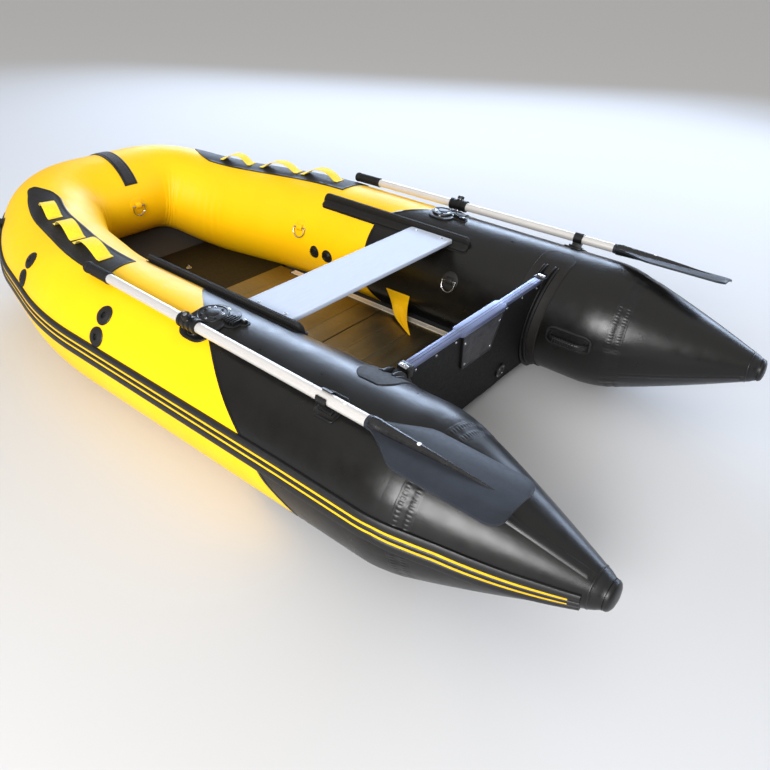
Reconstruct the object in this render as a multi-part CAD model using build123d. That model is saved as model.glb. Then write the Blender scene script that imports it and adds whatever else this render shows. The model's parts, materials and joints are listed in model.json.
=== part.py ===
from build123d import *
import os
from math import asin, atan2, cos, degrees, radians, sin, sqrt

# Inflatable boat with an aluminium floor, a sliding bench and two oars.
# Millimetres. +X points to the bow, +Y to port, +Z up.
# The origin lies on the ground, under the middle of the hull's length and width.

# ---------------------------------------------------------------- driving sizes
# air tubes
tube_diameter = 430.0            # straight side tubes
tube_spacing = 1086.0            # between the two side tubes' axes
straight_length = 1337.0         # from the tail cone's seam to the first bend
side_run, side_inset = 498.0, 116.0        # first bow panel, along X and inward
corner_run, corner_inset = 270.0, 156.0    # second bow panel, along X and inward
corner_ease = 45.0               # cut-off at the front tube's corners
section_points = 32              # points of a slanted cut's curve
band_points = 4
reach = 1000.0                   # half of a cutting block, larger than any piece
same_size = 1e-6
bow_rise = 84.0                  # front tube's axis above the side tubes' axes
shoulder_diameter = 408.0        # tube at the second bend
bow_diameter = 356.0             # front tube
cone_length = 461.0              # tail cone, seam to end plug
cone_end_radius = 38.0
cone_end_out, cone_end_up = 20.0, 19.0     # cone's end against the tube's axis
cap_length = 24.0                # rubber cap on the cone's end
cap_step = 3.0                   # cap stands proud of the cone
plug_length = 19.0
plug_rounding = 15.0
# rub strake round the hull
strake_thickness = 8.0
strake_from, strake_to = 4.0, 66.0         # edges above the tube's axis
# colour boundary of the yellow bow chamber, forward of the transom
paint_inner, paint_middle, paint_outer = 730.0, 420.0, 200.0
paint_inner_offset, paint_middle_offset = -110.0, 100.0
# bottom and keel
skin_height = 46.0
skin_thickness = 4.0
skin_rise_start = 215.0          # aft of the front tube's axis
skin_slope = 0.5
keel_radius = 45.0
keel_clearance = 3.0             # above the ground
keel_aft_gap = 150.0             # from the transom
keel_fore_gap = 240.0            # from the front tube's axis
# floor
panel_thickness = 12.0
panel_side_gap = 43.970782         # to the tubes, at the panels' top
panel_aft_gap = 10.0             # behind the last panel
aft_panel_length = 565.0
front_panel_length = 590.0
board_thickness = 12.0
board_clearance = 3.0            # to the tubes
board_fore_gap = 222.0           # from the front tube's axis
stringer_wall = 3.0
stringer_flange = 27.0
stringer_length = 1010.0
stringer_aft_gap = 60.0
# transom
transom_setback = 210.0          # top edge forward of the cone's seam
transom_height = 388.0
transom_thickness = 24.0
transom_rake = 6.0               # degrees, top edge aft
holder_thickness = 5.0
holder_half_length = 60.0
holder_from, holder_to = 95.0, 262.0       # degrees round the tube
holder_bottom = 70.0
cap_wall = 5.0
cap_depth = 26.0
cap_end_gap = 43.344213            # to the tubes, at the transom's top
plate_thickness = 8.0
plate_half_width, plate_foot_half_width = 114.0, 84.0
plate_height = 116.0
drain_offset = 210.0             # to starboard
drain_height = 95.0
drain_bore = 25.0
drain_wall = 3.0
drain_flange = 50.0
drain_reach = 6.0
# bench and its rails
bench_overhang = 8.863080         # past the rail's foot
bench_width = 186.0
bench_thickness = 14.0
bench_corner = 12.0
bench_rise = 29.723862            # above the rail's foot
bench_setback = 479.0            # bench centre forward of the transom
rail_angle = 132.0               # round the tube, from outboard over the top
rail_width, rail_height = 20.0, 9.5
rail_start, rail_end = 323.0, 1019.0       # forward of the transom
shoe_length = 150.0
shoe_gap = 0.4
shoe_inset = 2.0                 # from the rail's outer edge
shoe_lip = 7.0
shoe_lip_clearance = 5.5         # lip above the tube
# oars
oar_splay = 1.5                  # degrees, blade end outward
shaft_diameter = 30.0
pivot_forward = 520.0            # oarlock pin forward of the transom
pivot_offset, pivot_rise = 97.0, 10.0      # outboard of the tube's axis, above its top
pin_lean = 22.0                  # degrees outward
pin_diameter = 10.0
pin_gap = 0.08                   # running fit in the collar and the shaft
inboard_length = 510.0           # pin to the grip's end
outboard_length = 640.0          # pin to the end of the shaft's sleeve
blade_length = 370.0
blade_shoulder = 112.0           # from the sleeve to the full width
blade_half_width = 82.0
blade_neck_half_width = 21.0
blade_thickness = 5.0
blade_corner = 26.0
spine_radius, spine_end_radius = 18.0, 5.0
spine_length = 300.0
shaft_depth = 60.0               # shaft inside the blade's spine
grip_length = 126.0
grip_diameter = 37.0
grip_rounding = 5.0
grip_bore_depth = 90.0
collar_wall = 5.0
collar_length = 72.0
collar_rib = 2.0
collar_rib_width = 10.0
collar_rib_spacing = 30.0
boss_radius = 21.0
boss_length = 50.0
boss_gap = 0.4
pin_root = 2.0                   # pin inside the boss and the knob
base_pad = 4.0
base_half_length = 62.0
base_from, base_to = 58.0, 104.0           # degrees round the tube
wedge_height = 14.0
wedge_half_length = 40.0
wedge_from, wedge_to = 80.0, 100.0         # degrees round the tube
knob_radius, knob_height = 13.0, 12.0
clip_distance = 500.0            # pin to clip, along the shaft
clip_length = 32.0
clip_half_width = 23.0
clip_gap = 0.4
clip_mouth = 24.0
clip_top = 12.0                  # arms above the shaft's axis
clip_pad_half = 38.0
clip_pad = 3.0
# fittings
bond_gap = 0.1                   # glue line under the strake and the grab patches
patch_thickness = 3.0
grab_start, grab_end = -75.0, 175.0        # from the first bend, from the second
grab_outer, grab_inner = 70.0, 106.0       # degrees round the tube
grab_skew = 22.0                 # degrees, outer corners forward
loop_width, loop_span, loop_rise, loop_thickness = 46.0, 105.0, 26.0, 4.0
loop_stations = (65.0, 250.0, 435.0)       # from the first bend, forward
loop_root = 6.0                  # loop's ends below the tube's top
strap_half_width = 30.0
strap_thickness = 4.0
strap_from, strap_to = 62.0, 152.0         # degrees from forward, over the top
patch_depth = 40.0               # reach of a cut through a patch's sheet
ring_wire = 5.0
ring_bar_radius = 3.0
ring_bar_end = 3.5               # past the middle of the wire
ring_inner = 20.0
ring_stand = 5.0                 # ring's middle above its patch
ring_patch_radius = 34.0
lug_length, lug_width = 28.0, 10.0
tow_patch_radius = 22.0
tow_ring_stand = 9.0             # clear of the strake below it
tow_ring_setback = 150.0         # from the front tube's axis
tow_ring_angle = 26.0            # degrees round the tube
inner_ring_angle = 162.0         # degrees round the tube
fore_ring_station = -25.0        # from the first bend, forward
aft_ring_station = 340.0         # forward of the transom
pad_radius, pad_height = 26.0, 7.0
pad_bore = 9.0
pad_angles = (26.0, 44.0)
pad_stations = (238.0, -271.0)             # from the first bend, forward
valve_radius, valve_height = 27.0, 9.0
valve_cap_radius, valve_cap_height = 18.0, 6.0
valve_stations = (-123.0, -197.0)          # from the first bend
valve_angle = 184.0
handle_start, handle_end = 132.0, 6.0      # from the cone's seam, forward
handle_base = 4.0
handle_bar_radius = 9.0
handle_post_radius = 11.0
handle_foot = 16.0               # post's middle from the base's end
handle_root = 5.0                # post below the tube's wall
handle_reach = 34.0
handle_angle = 176.0
handle_half_width = 34.0

# ---------------------------------------------------------------- worked out
tube_r = tube_diameter / 2
shoulder_r = shoulder_diameter / 2
bow_r = bow_diameter / 2
axis_y = tube_spacing / 2
axis_z = tube_r
shaft_r = shaft_diameter / 2

overall_length = (plug_length + cone_length + straight_length + side_run
                  + corner_run + bow_r + strake_thickness)
front_x = overall_length / 2 - strake_thickness - bow_r
shoulder_x = front_x - corner_run
bend_x = shoulder_x - side_run
seam_x = bend_x - straight_length
cone_end_x = seam_x - cone_length
cap_x = cone_end_x + cap_length
transom_x = seam_x + transom_setback

shoulder_y = axis_y - side_inset
front_y = shoulder_y - corner_inset
front_z = axis_z + bow_rise
cone_end_y = axis_y + cone_end_out
cone_end_z = axis_z + cone_end_up

skin_top = skin_height + skin_thickness
transom_depth = (transom_height - skin_top) / cos(radians(transom_rake))
transom_foot_x = transom_x + transom_depth * sin(radians(transom_rake))
panel_bottom = skin_top + stringer_wall
panel_top = panel_bottom + panel_thickness
rail_foot_y = axis_y + tube_r * cos(radians(rail_angle))
rail_foot_z = axis_z + tube_r * sin(radians(rail_angle))
bench_half_length = rail_foot_y + bench_overhang
bench_top = rail_foot_z + bench_rise
pivot_out = axis_y + pivot_offset
pivot_height = axis_z + tube_r + pivot_rise


def inner_wall(z):
    """Half the free width between the side tubes at a height."""
    return axis_y - sqrt(tube_r ** 2 - (z - axis_z) ** 2)


panel_half_width = inner_wall(panel_top) - panel_side_gap
cap_half_length = inner_wall(transom_height) - cap_end_gap
shaft_direction = Vector(-cos(radians(oar_splay)), sin(radians(oar_splay)), 0)

PORT, STARBOARD = 1, -1
SIDES = (("port", PORT), ("starboard", STARBOARD))
nodes = {}


# ---------------------------------------------------------------- helpers
def box(x0, x1, y0, y1, z0, z1):
    """A box between two corners."""
    return Pos((x0 + x1) / 2, (y0 + y1) / 2, (z0 + z1) / 2) * Box(x1 - x0, y1 - y0, z1 - z0)


def plan_prism(points, z0, z1):
    """A vertical prism over an outline given in plan."""
    outline = make_face(Polyline(*[(x, y, z0) for x, y in points], close=True))
    return extrude(outline, amount=z1 - z0, dir=(0, 0, 1))


def side_prism(points, half_width):
    """A prism across the boat over an outline given in side view, as X and Z."""
    outline = make_face(Polyline(*[(x, -half_width, z) for x, z in points], close=True))
    return extrude(outline, amount=2 * half_width, dir=(0, 1, 0))


def section_prism(points, x0, x1):
    """A prism along the boat over an outline given in cross-section, as Y and Z."""
    outline = make_face(Polyline(*[(x0, y, z) for y, z in points], close=True))
    return extrude(outline, amount=x1 - x0, dir=(1, 0, 0))


def rod(start, end, radius, end_radius=None):
    """A round bar or cone between two points."""
    start, end = Vector(*start), Vector(*end)
    span = end - start
    place = Plane(origin=start, z_dir=span)
    if end_radius is None or abs(end_radius - radius) < same_size:
        return Solid.make_cylinder(radius, span.length, place)
    return Solid.make_cone(radius, end_radius, span.length, place)


def on_tube(angle, radius, x):
    """The point at an angle round the port tube: 0 outboard, 90 on top, 180 inboard."""
    return Vector(x, axis_y + radius * cos(radians(angle)), axis_z + radius * sin(radians(angle)))


def tube_patch(x0, x1, angle0, angle1, thickness, lift=0.0):
    """A sheet of even thickness on the port side tube, or lifted off it."""
    low, high = tube_r + lift, tube_r + thickness
    corners = [on_tube(angle0, low, x0), on_tube(angle0, high, x0),
               on_tube(angle0, high, x1), on_tube(angle0, low, x1)]
    strip = make_face(Polyline(*corners, close=True))
    axis = Axis((0, axis_y, axis_z), (1, 0, 0))
    return revolve(strip, axis=axis, revolution_arc=angle1 - angle0)


def side_plane(at, radius, along, angle):
    """A plane on a tube panel's wall: local z off the wall, local x along the panel."""
    across = Vector(0, 0, 1).cross(along).normalized()
    out = across * cos(radians(angle)) + along.cross(across) * sin(radians(angle))
    return Plane(origin=at + out * radius, x_dir=along, z_dir=out)


def panel_shell(at, radius, along):
    """A thin round shell on a tube panel near a point, to cut a patch from."""
    start, end = at - along * patch_depth, at + along * patch_depth
    return rod(start, end, radius + patch_thickness) - rod(start - along, end + along, radius)


def straight_tube(radius):
    """The straight length of the port side tube."""
    return rod((seam_x, axis_y, axis_z), (bend_x, axis_y, axis_z), radius)


def to_side(shape, side):
    """The port piece itself, or its mirror image to starboard."""
    return shape if side == PORT else mirror(shape, about=Plane.XZ)


def both_sides(name, shape):
    """Stores a port piece and its starboard mirror image."""
    for word, side in SIDES:
        nodes[word + "_" + name] = to_side(shape, side)


# ---------------------------------------------------------------- hull form
def tube_path():
    """The port side's points of the tubes' axis, each with the tube's radius there."""
    corner = Vector(front_x, front_y, front_z)
    shoulder = Vector(shoulder_x, shoulder_y, axis_z)
    toward = (shoulder - corner).normalized()
    return [(Vector(cone_end_x, cone_end_y, cone_end_z), cone_end_radius),
            (Vector(seam_x, axis_y, axis_z), tube_r),
            (Vector(bend_x, axis_y, axis_z), tube_r),
            (shoulder, shoulder_r),
            (corner + toward * corner_ease, bow_r),
            (corner - Vector(0, corner_ease, 0), bow_r)]


def mirrored_path(path):
    """A port path continued round the bow to starboard."""
    return path + [(Vector(p.X, -p.Y, p.Z), r) for p, r in reversed(path)]


def tube_at(x):
    """The port axis point at a station, the tube's radius there and the panel's direction."""
    path = tube_path()
    i = 1
    while path[i + 1][0].X < x:
        i += 1
    (start, start_r), (end, end_r) = path[i], path[i + 1]
    share = (x - start.X) / (end.X - start.X)
    return start + (end - start) * share, start_r + (end_r - start_r) * share, (end - start).normalized()


class Cut:
    """A cut across a tube: where two panels meet, or turned by skew on the straight tube."""

    def __init__(self, before, at, after, radius, skew=0.0):
        self.at = at
        self.radius = radius
        self.arriving = (at - before).normalized()
        leaving = (after - at).normalized()
        self.normal = (self.arriving + leaving).normalized().rotate(Axis.Z, -skew)

    def point(self, angle, lift):
        """A point of the wall, lifted off it: 0 degrees is outboard, 90 on top, 180 inboard."""
        across = Vector(0, 0, 1).cross(self.arriving).normalized()
        up = self.arriving.cross(across)
        arm = across * cos(radians(angle)) + up * sin(radians(angle))
        slide = arm.dot(self.normal) / self.arriving.dot(self.normal)
        return self.at + (arm - self.arriving * slide) * (self.radius + lift)

    def disc(self, grow):
        """The whole cut as a face, grown outward."""
        step = 360 / section_points
        points = [self.point(i * step, grow) for i in range(section_points)]
        return make_face(Spline(*points, periodic=True))


def wall_strip(cut, angles, low_lift, high_lift):
    """A strip of sheet on the tube's wall between two angles, as a face across the tube."""
    step = (angles[1] - angles[0]) / band_points
    turns = [angles[0] + i * step for i in range(band_points + 1)]
    low = Spline(*[cut.point(turn, low_lift) for turn in turns])
    high = Spline(*[cut.point(turn, high_lift) for turn in turns])
    return make_face(Curve() + [low, Line(low @ 1, high @ 1), high, Line(high @ 0, low @ 0)])


def first_bend(grow=0.0):
    """The cut at the first bend, where it is a plain ellipse."""
    half_turn = atan2(side_inset, side_run) / 2
    normal = Vector(cos(half_turn), -sin(half_turn), 0)
    plane = Plane(origin=(bend_x, axis_y, axis_z), x_dir=Vector(0, 0, 1).cross(normal), z_dir=normal)
    radius = tube_r + grow
    return plane * Ellipse(radius / cos(half_turn), radius)


def bow_form(grow=0.0):
    """The bow chamber's panels from the first bend round to its mirror image."""
    path = mirrored_path(tube_path()[2:])
    sections = [first_bend(grow)]
    for i in range(1, len(path) - 1):
        cut = Cut(path[i - 1][0], path[i][0], path[i + 1][0], path[i][1])
        sections.append(cut.disc(grow))
    sections.append(mirror(first_bend(grow), about=Plane.XZ))
    return loft(sections, ruled=True)


def side_form(grow=0.0):
    """The straight port tube, from the cone's seam to the cut at the first bend."""
    half_turn = atan2(side_inset, side_run) / 2
    long_tube = rod((seam_x, axis_y, axis_z), (shoulder_x, axis_y, axis_z), tube_r + grow)
    cut = Plane(origin=(bend_x, axis_y, axis_z), z_dir=(cos(half_turn), -sin(half_turn), 0))
    return split(long_tube, bisect_by=cut, keep=Keep.BOTTOM)


def hull_form(grow=0.0):
    """All the air tubes as one solid, thickened by grow."""
    form = bow_form(grow)
    for side in (PORT, STARBOARD):
        form = form + to_side(side_form(grow), side)
        form = form + to_side(tail_cone(seam_x, cone_end_x, grow), side)
    return form


def cone_section(x, grow=0.0):
    """The tail cone's round section at a station, as a face."""
    share = (seam_x - x) / cone_length
    radius = tube_r + (cone_end_radius - tube_r) * share + grow
    centre = Vector(x, axis_y + cone_end_out * share, axis_z + cone_end_up * share)
    return Plane(origin=centre, x_dir=(0, 1, 0), z_dir=(1, 0, 0)) * Circle(radius)


def tail_cone(x0, x1, grow=0.0):
    """The port tail cone between two stations."""
    return loft([cone_section(x0, grow), cone_section(x1, grow)], ruled=True)


def inside_outline(inset=0.0):
    """The plan outline of the tubes' axes, from the transom round the bow."""
    half = [(seam_x, axis_y - inset), (bend_x, axis_y - inset),
            (shoulder_x, shoulder_y - inset), (front_x - inset, front_y)]
    return half + [(x, -y) for x, y in reversed(half)]


def bow_region():
    """The block that holds the yellow bow chamber."""
    half = [(transom_x + paint_inner, 0), (transom_x + paint_inner, axis_y + paint_inner_offset),
            (transom_x + paint_middle, axis_y + paint_middle_offset),
            (transom_x + paint_outer, axis_y + tube_r),
            (transom_x + paint_outer, axis_y + 2 * tube_r),
            (overall_length, axis_y + 2 * tube_r)]
    return plan_prism(half + [(x, -y) for x, y in reversed(half[1:])], -reach, reach)


hull = hull_form()


def make_tubes():
    """The yellow bow chamber, the black aft tubes, the tail cones and their caps."""
    region = bow_region()
    straight = rod((seam_x, axis_y, axis_z), (bend_x, axis_y, axis_z), tube_r)
    cones = tail_cone(seam_x, cone_end_x)
    nodes["bow_tube"] = (hull - box(-overall_length, seam_x, -overall_length, overall_length,
                                    -reach, reach)) & region
    both_sides("aft_tube", straight - region)
    both_sides("tail_cone", cones - box(-overall_length, cap_x, -reach, reach, -reach, reach))
    rim = tail_cone(cap_x, cone_end_x, cap_step)
    end = cone_section(cone_end_x, cap_step)
    plug = extrude(end, amount=plug_length, dir=(-1, 0, 0))
    round_edges = plug.edges().group_by(Axis.X)[0]
    both_sides("cone_cap", rim + fillet(round_edges, plug_rounding))


def make_strake():
    """The black band that runs round the hull's outside, narrower on the tail cones."""
    path = mirrored_path(tube_path())
    end, seam = path[0][0], path[1][0]
    share = cap_length / cone_length
    path[0] = (end + (seam - end) * share, path[0][1] + (tube_r - cone_end_radius) * share)
    path[-1] = (Vector(path[0][0].X, -path[0][0].Y, path[0][0].Z), path[0][1])
    forward = Vector(1, 0, 0)
    edges = (degrees(asin(strake_from / tube_r)), degrees(asin(strake_to / tube_r)))
    bands = []
    for i, (at, radius) in enumerate(path):
        if i < 2:
            before, after = at - forward, at + forward
        elif i >= len(path) - 2:
            before, after = at + forward, at - forward
        else:
            before, after = path[i - 1][0], path[i + 1][0]
        bands.append(wall_strip(Cut(before, at, after, radius), edges, bond_gap, strake_thickness))
    nodes["rub_strake"] = loft(bands, ruled=True)


# ---------------------------------------------------------------- bottom and floor
def make_bottom():
    """The bottom skin between the tubes and the keel under it."""
    rise_x = front_x - skin_rise_start
    rise = skin_slope * skin_rise_start
    low = [(transom_foot_x, skin_height), (rise_x, skin_height), (front_x, skin_height + rise)]
    top = [(x, z + skin_thickness) for x, z in reversed(low)]
    sheet = side_prism(low + top, axis_y) & plan_prism(inside_outline(), 0, reach)
    nodes["bottom_skin"] = sheet - hull
    centre_z = keel_clearance + keel_radius
    x0 = transom_x + keel_aft_gap
    x1 = front_x - keel_fore_gap
    keel = rod((x0, 0, centre_z), (x1, 0, centre_z), keel_radius)
    for x in (x0, x1):
        keel = keel + Pos(x, 0, centre_z) * Sphere(keel_radius)
    nodes["keel_tube"] = keel - box(-reach, 2 * reach, -reach, reach, skin_height, reach)


def make_floor():
    """The bow board, the two floor panels and the side stringers."""
    aft_x = transom_foot_x + transom_thickness + panel_aft_gap
    middle_x = aft_x + aft_panel_length
    fore_x = middle_x + front_panel_length
    for name, x0, x1 in (("aft_floor_panel", aft_x, middle_x), ("front_floor_panel", middle_x, fore_x)):
        nodes[name] = box(x0, x1, -panel_half_width, panel_half_width, panel_bottom, panel_top)
    board = plan_prism(inside_outline(), skin_top, skin_top + board_thickness)
    board = board & box(fore_x, front_x - board_fore_gap, -axis_y, axis_y, 0, reach)
    nodes["bow_floor_board"] = board - hull_form(board_clearance)
    outer_y = panel_half_width + stringer_wall
    inner_y = outer_y - stringer_flange
    x0 = aft_x + stringer_aft_gap
    x1 = x0 + stringer_length
    channel = box(x0, x1, inner_y, outer_y, skin_top, panel_top + stringer_wall)
    slot = box(x0, x1, inner_y, panel_half_width, panel_bottom, panel_top)
    both_sides("floor_stringer", channel - slot)


# ---------------------------------------------------------------- transom
def in_transom(shape):
    """Leans a shape drawn about the transom's top aft edge to its rake."""
    return Pos(transom_x, 0, transom_height) * Rot(0, -transom_rake, 0) * shape


def make_transom():
    """The transom board, its holders on the tubes, its cap and the motor plates."""
    far = axis_y
    holder_block = in_transom(box(transom_thickness / 2 - holder_half_length,
                                  transom_thickness / 2 + holder_half_length,
                                  0, far, holder_bottom - transom_height, reach))
    shell = tube_patch(seam_x, transom_x + transom_setback, holder_from, holder_to,
                       holder_thickness)
    holder = shell & holder_block
    both_sides("transom_holder", holder)
    board = in_transom(box(0, transom_thickness, -far, far, -transom_depth, 0))
    board = board - hull
    for word, _ in SIDES:
        board = board - nodes[word + "_transom_holder"]
    drain = in_transom(Pos(0, -drain_offset, drain_height - transom_height)
                       * Rot(0, 90, 0) * Cylinder(drain_bore / 2 + drain_wall, reach))
    nodes["transom_board"] = board - drain
    cap = box(-cap_wall, transom_thickness + cap_wall, -cap_half_length, cap_half_length,
              -cap_depth, cap_wall)
    wide = cap_wall + plate_thickness
    cap = cap + box(-wide, transom_thickness + wide, -plate_half_width, plate_half_width,
                    -cap_depth, cap_wall)
    cap = cap - box(0, transom_thickness, -far, far, -transom_depth, 0)
    nodes["transom_cap"] = in_transom(cap)
    low = -cap_depth - plate_height
    outline = [(-plate_half_width, -cap_depth), (plate_half_width, -cap_depth),
               (plate_foot_half_width, low), (-plate_foot_half_width, low)]
    plate = section_prism(outline, -plate_thickness, 0)
    nodes["outer_motor_plate"] = in_transom(plate)
    nodes["inner_motor_plate"] = in_transom(Pos(plate_thickness + transom_thickness, 0, 0) * plate)
    tube = Pos(transom_thickness / 2, 0, 0) * Rot(0, 90, 0) * Cylinder(
        drain_bore / 2 + drain_wall, transom_thickness + 2 * drain_reach)
    flange = Rot(0, 90, 0) * Cylinder(drain_flange / 2, drain_reach)
    socket = tube + Pos(-drain_reach / 2, 0, 0) * flange
    socket = socket + Pos(transom_thickness + drain_reach / 2, 0, 0) * flange
    socket = socket - Pos(transom_thickness / 2, 0, 0) * Rot(0, 90, 0) * Cylinder(drain_bore / 2, reach)
    nodes["drain_socket"] = in_transom(Pos(0, -drain_offset, drain_height - transom_height) * socket)


# ---------------------------------------------------------------- bench
def make_bench():
    """The bench plank with a shoe at each end, and the rails on the tubes."""
    centre_x = transom_x + bench_setback
    bottom = bench_top - bench_thickness
    plank = box(centre_x - bench_width / 2, centre_x + bench_width / 2,
                -bench_half_length, bench_half_length, bottom, bench_top)
    upright = plank.edges().filter_by(Axis.Z)
    nodes["bench_plank"] = fillet(upright, bench_corner)
    x0, x1 = transom_x + rail_start, transom_x + rail_end
    middle = Vector((x0 + x1) / 2, axis_y, axis_z)
    rail = side_plane(middle, tube_r, Vector(1, 0, 0), rail_angle) * Box(
        x1 - x0, rail_width, 2 * rail_height)
    both_sides("bench_rail", rail - straight_tube(tube_r))
    out = Vector(0, cos(radians(rail_angle)), sin(radians(rail_angle)))
    along = Vector(0, sin(radians(rail_angle)), -cos(radians(rail_angle)))

    def spot(across, height):
        """A cross-section point, across the rail towards the tube's top and above the tube."""
        p = on_tube(rail_angle, tube_r, 0) + along * across + out * height
        return p.Y, p.Z

    seat = rail_height + shoe_gap
    side = -rail_width / 2 - shoe_gap
    lip = [spot(side, seat), spot(side, shoe_lip_clearance), spot(side - shoe_lip, shoe_lip_clearance)]
    end = spot(rail_width / 2 - shoe_inset, seat)
    outline = [end] + lip + [(lip[2][0], bottom), (end[0], bottom)]
    shoe = section_prism(outline, centre_x - shoe_length / 2, centre_x + shoe_length / 2)
    both_sides("bench_shoe", shoe)


# ---------------------------------------------------------------- oars
def make_oar():
    """One oar, its oarlock and its clip, as port pieces and their mirror images."""
    pivot = Vector(transom_x + pivot_forward, pivot_out, pivot_height)
    aft = shaft_direction
    pin_axis = Vector(0, sin(radians(pin_lean)), cos(radians(pin_lean))).rotate(Axis.Z, -oar_splay)
    pin_axis = (pin_axis - aft * pin_axis.dot(aft)).normalized()
    grip_end = pivot - aft * inboard_length
    grip_inner = grip_end + aft * grip_length
    sleeve_end = pivot + aft * outboard_length
    tip = sleeve_end + aft * blade_length

    bore = pin_axis * (2 * shaft_diameter)
    hole = rod(pivot - bore, pivot + bore, pin_diameter / 2 + pin_gap)
    shaft = rod(grip_inner - aft * grip_bore_depth, sleeve_end + aft * shaft_depth, shaft_r)
    both_sides("oar_shaft", shaft - hole)

    grip = rod(grip_end, grip_inner, grip_diameter / 2)
    grip = fillet(grip.edges(), grip_rounding)
    both_sides("oar_grip", grip - shaft)

    flat = Plane(origin=sleeve_end, x_dir=aft, z_dir=(0, 0, 1))
    outline = Polyline((0, -blade_neck_half_width), (blade_shoulder, -blade_half_width),
                       (blade_length, -blade_half_width), (blade_length, blade_half_width),
                       (blade_shoulder, blade_half_width), (0, blade_neck_half_width), close=True)
    sheet = flat * Pos(0, 0, -blade_thickness / 2) * extrude(make_face(outline), amount=blade_thickness)
    tip_edges = sheet.edges().filter_by(Axis.Z).sort_by_distance(tip)[:2]
    sheet = fillet(tip_edges, blade_corner)
    spine = rod(sleeve_end, sleeve_end + aft * spine_length, spine_radius, spine_end_radius)
    both_sides("oar_blade", sheet + spine - shaft)

    ring_r = shaft_r + collar_wall
    half = aft * (collar_length / 2)
    collar = rod(pivot - half, pivot + half, ring_r)
    for place in (-collar_rib_spacing, 0.0, collar_rib_spacing):
        at = pivot + aft * place
        edge = aft * (collar_rib_width / 2)
        collar = collar + rod(at - edge, at + edge, ring_r + collar_rib)
    both_sides("oar_collar", collar - shaft - hole)

    foot = pivot - pin_axis * (ring_r + collar_rib + boss_gap)
    head = pivot + pin_axis * (ring_r + collar_rib + boss_gap)
    bonded = straight_tube(tube_r + base_pad / 2)
    boss = rod(foot - pin_axis * boss_length, foot, boss_radius) - bonded
    pad = tube_patch(pivot.X - base_half_length, pivot.X + base_half_length,
                     base_from, base_to, base_pad)
    wedge = tube_patch(pivot.X - wedge_half_length, pivot.X + wedge_half_length,
                       wedge_from, wedge_to, wedge_height, base_pad / 2)
    pin = rod(foot - pin_axis * pin_root, head + pin_axis * pin_root, pin_diameter / 2)
    knob = rod(head, head + pin_axis * knob_height, knob_radius)
    both_sides("oarlock_base", pad + wedge + boss + pin)
    both_sides("oarlock_knob", knob - pin)

    at = pivot + aft * clip_distance
    normal = (at - Vector(at.X, axis_y, axis_z)).normalized()
    frame = Plane(origin=at, x_dir=aft, z_dir=normal)
    reach = (at - Vector(at.X, axis_y, axis_z)).length - tube_r
    height = clip_top + reach
    block = Pos(0, 0, clip_top - height / 2) * Box(clip_length, 2 * clip_half_width, height)
    mouth = Pos(0, 0, height / 2) * Box(clip_length * 2, clip_mouth, height)
    clip = frame * (block - mouth)
    clip = clip - rod(at - aft * clip_length, at + aft * clip_length, shaft_r + clip_gap)
    clip = clip - straight_tube(tube_r + clip_pad / 2)
    angle = degrees(asin((at.Z - axis_z) / (reach + tube_r)))
    spread = degrees(clip_pad_half / tube_r)
    clip_base = tube_patch(at.X - clip_pad_half, at.X + clip_pad_half, angle - spread,
                           angle + spread, clip_pad)
    both_sides("oar_clip", clip + clip_base)


# ---------------------------------------------------------------- fittings
def d_ring(place, sheet, patch_radius, stand):
    """A round patch cut from a sheet on the hull, with a lug and a D-shaped wire ring."""
    patch = sheet & (place * Cylinder(patch_radius, patch_depth))
    lug_height = stand + ring_wire
    lug = Pos(0, 0, patch_thickness / 2 + lug_height / 2) * Box(lug_length, lug_width, lug_height)
    mid = ring_inner + ring_wire / 2
    hoop = Rot(0, 0, 180) * Torus(mid, ring_wire / 2, major_angle=180)
    bar = Rot(0, 90, 0) * Cylinder(ring_bar_radius, 2 * (mid + ring_bar_end))
    ring = Pos(0, 0, patch_thickness + stand) * (hoop + bar)
    return patch + place * (lug + ring)


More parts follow.
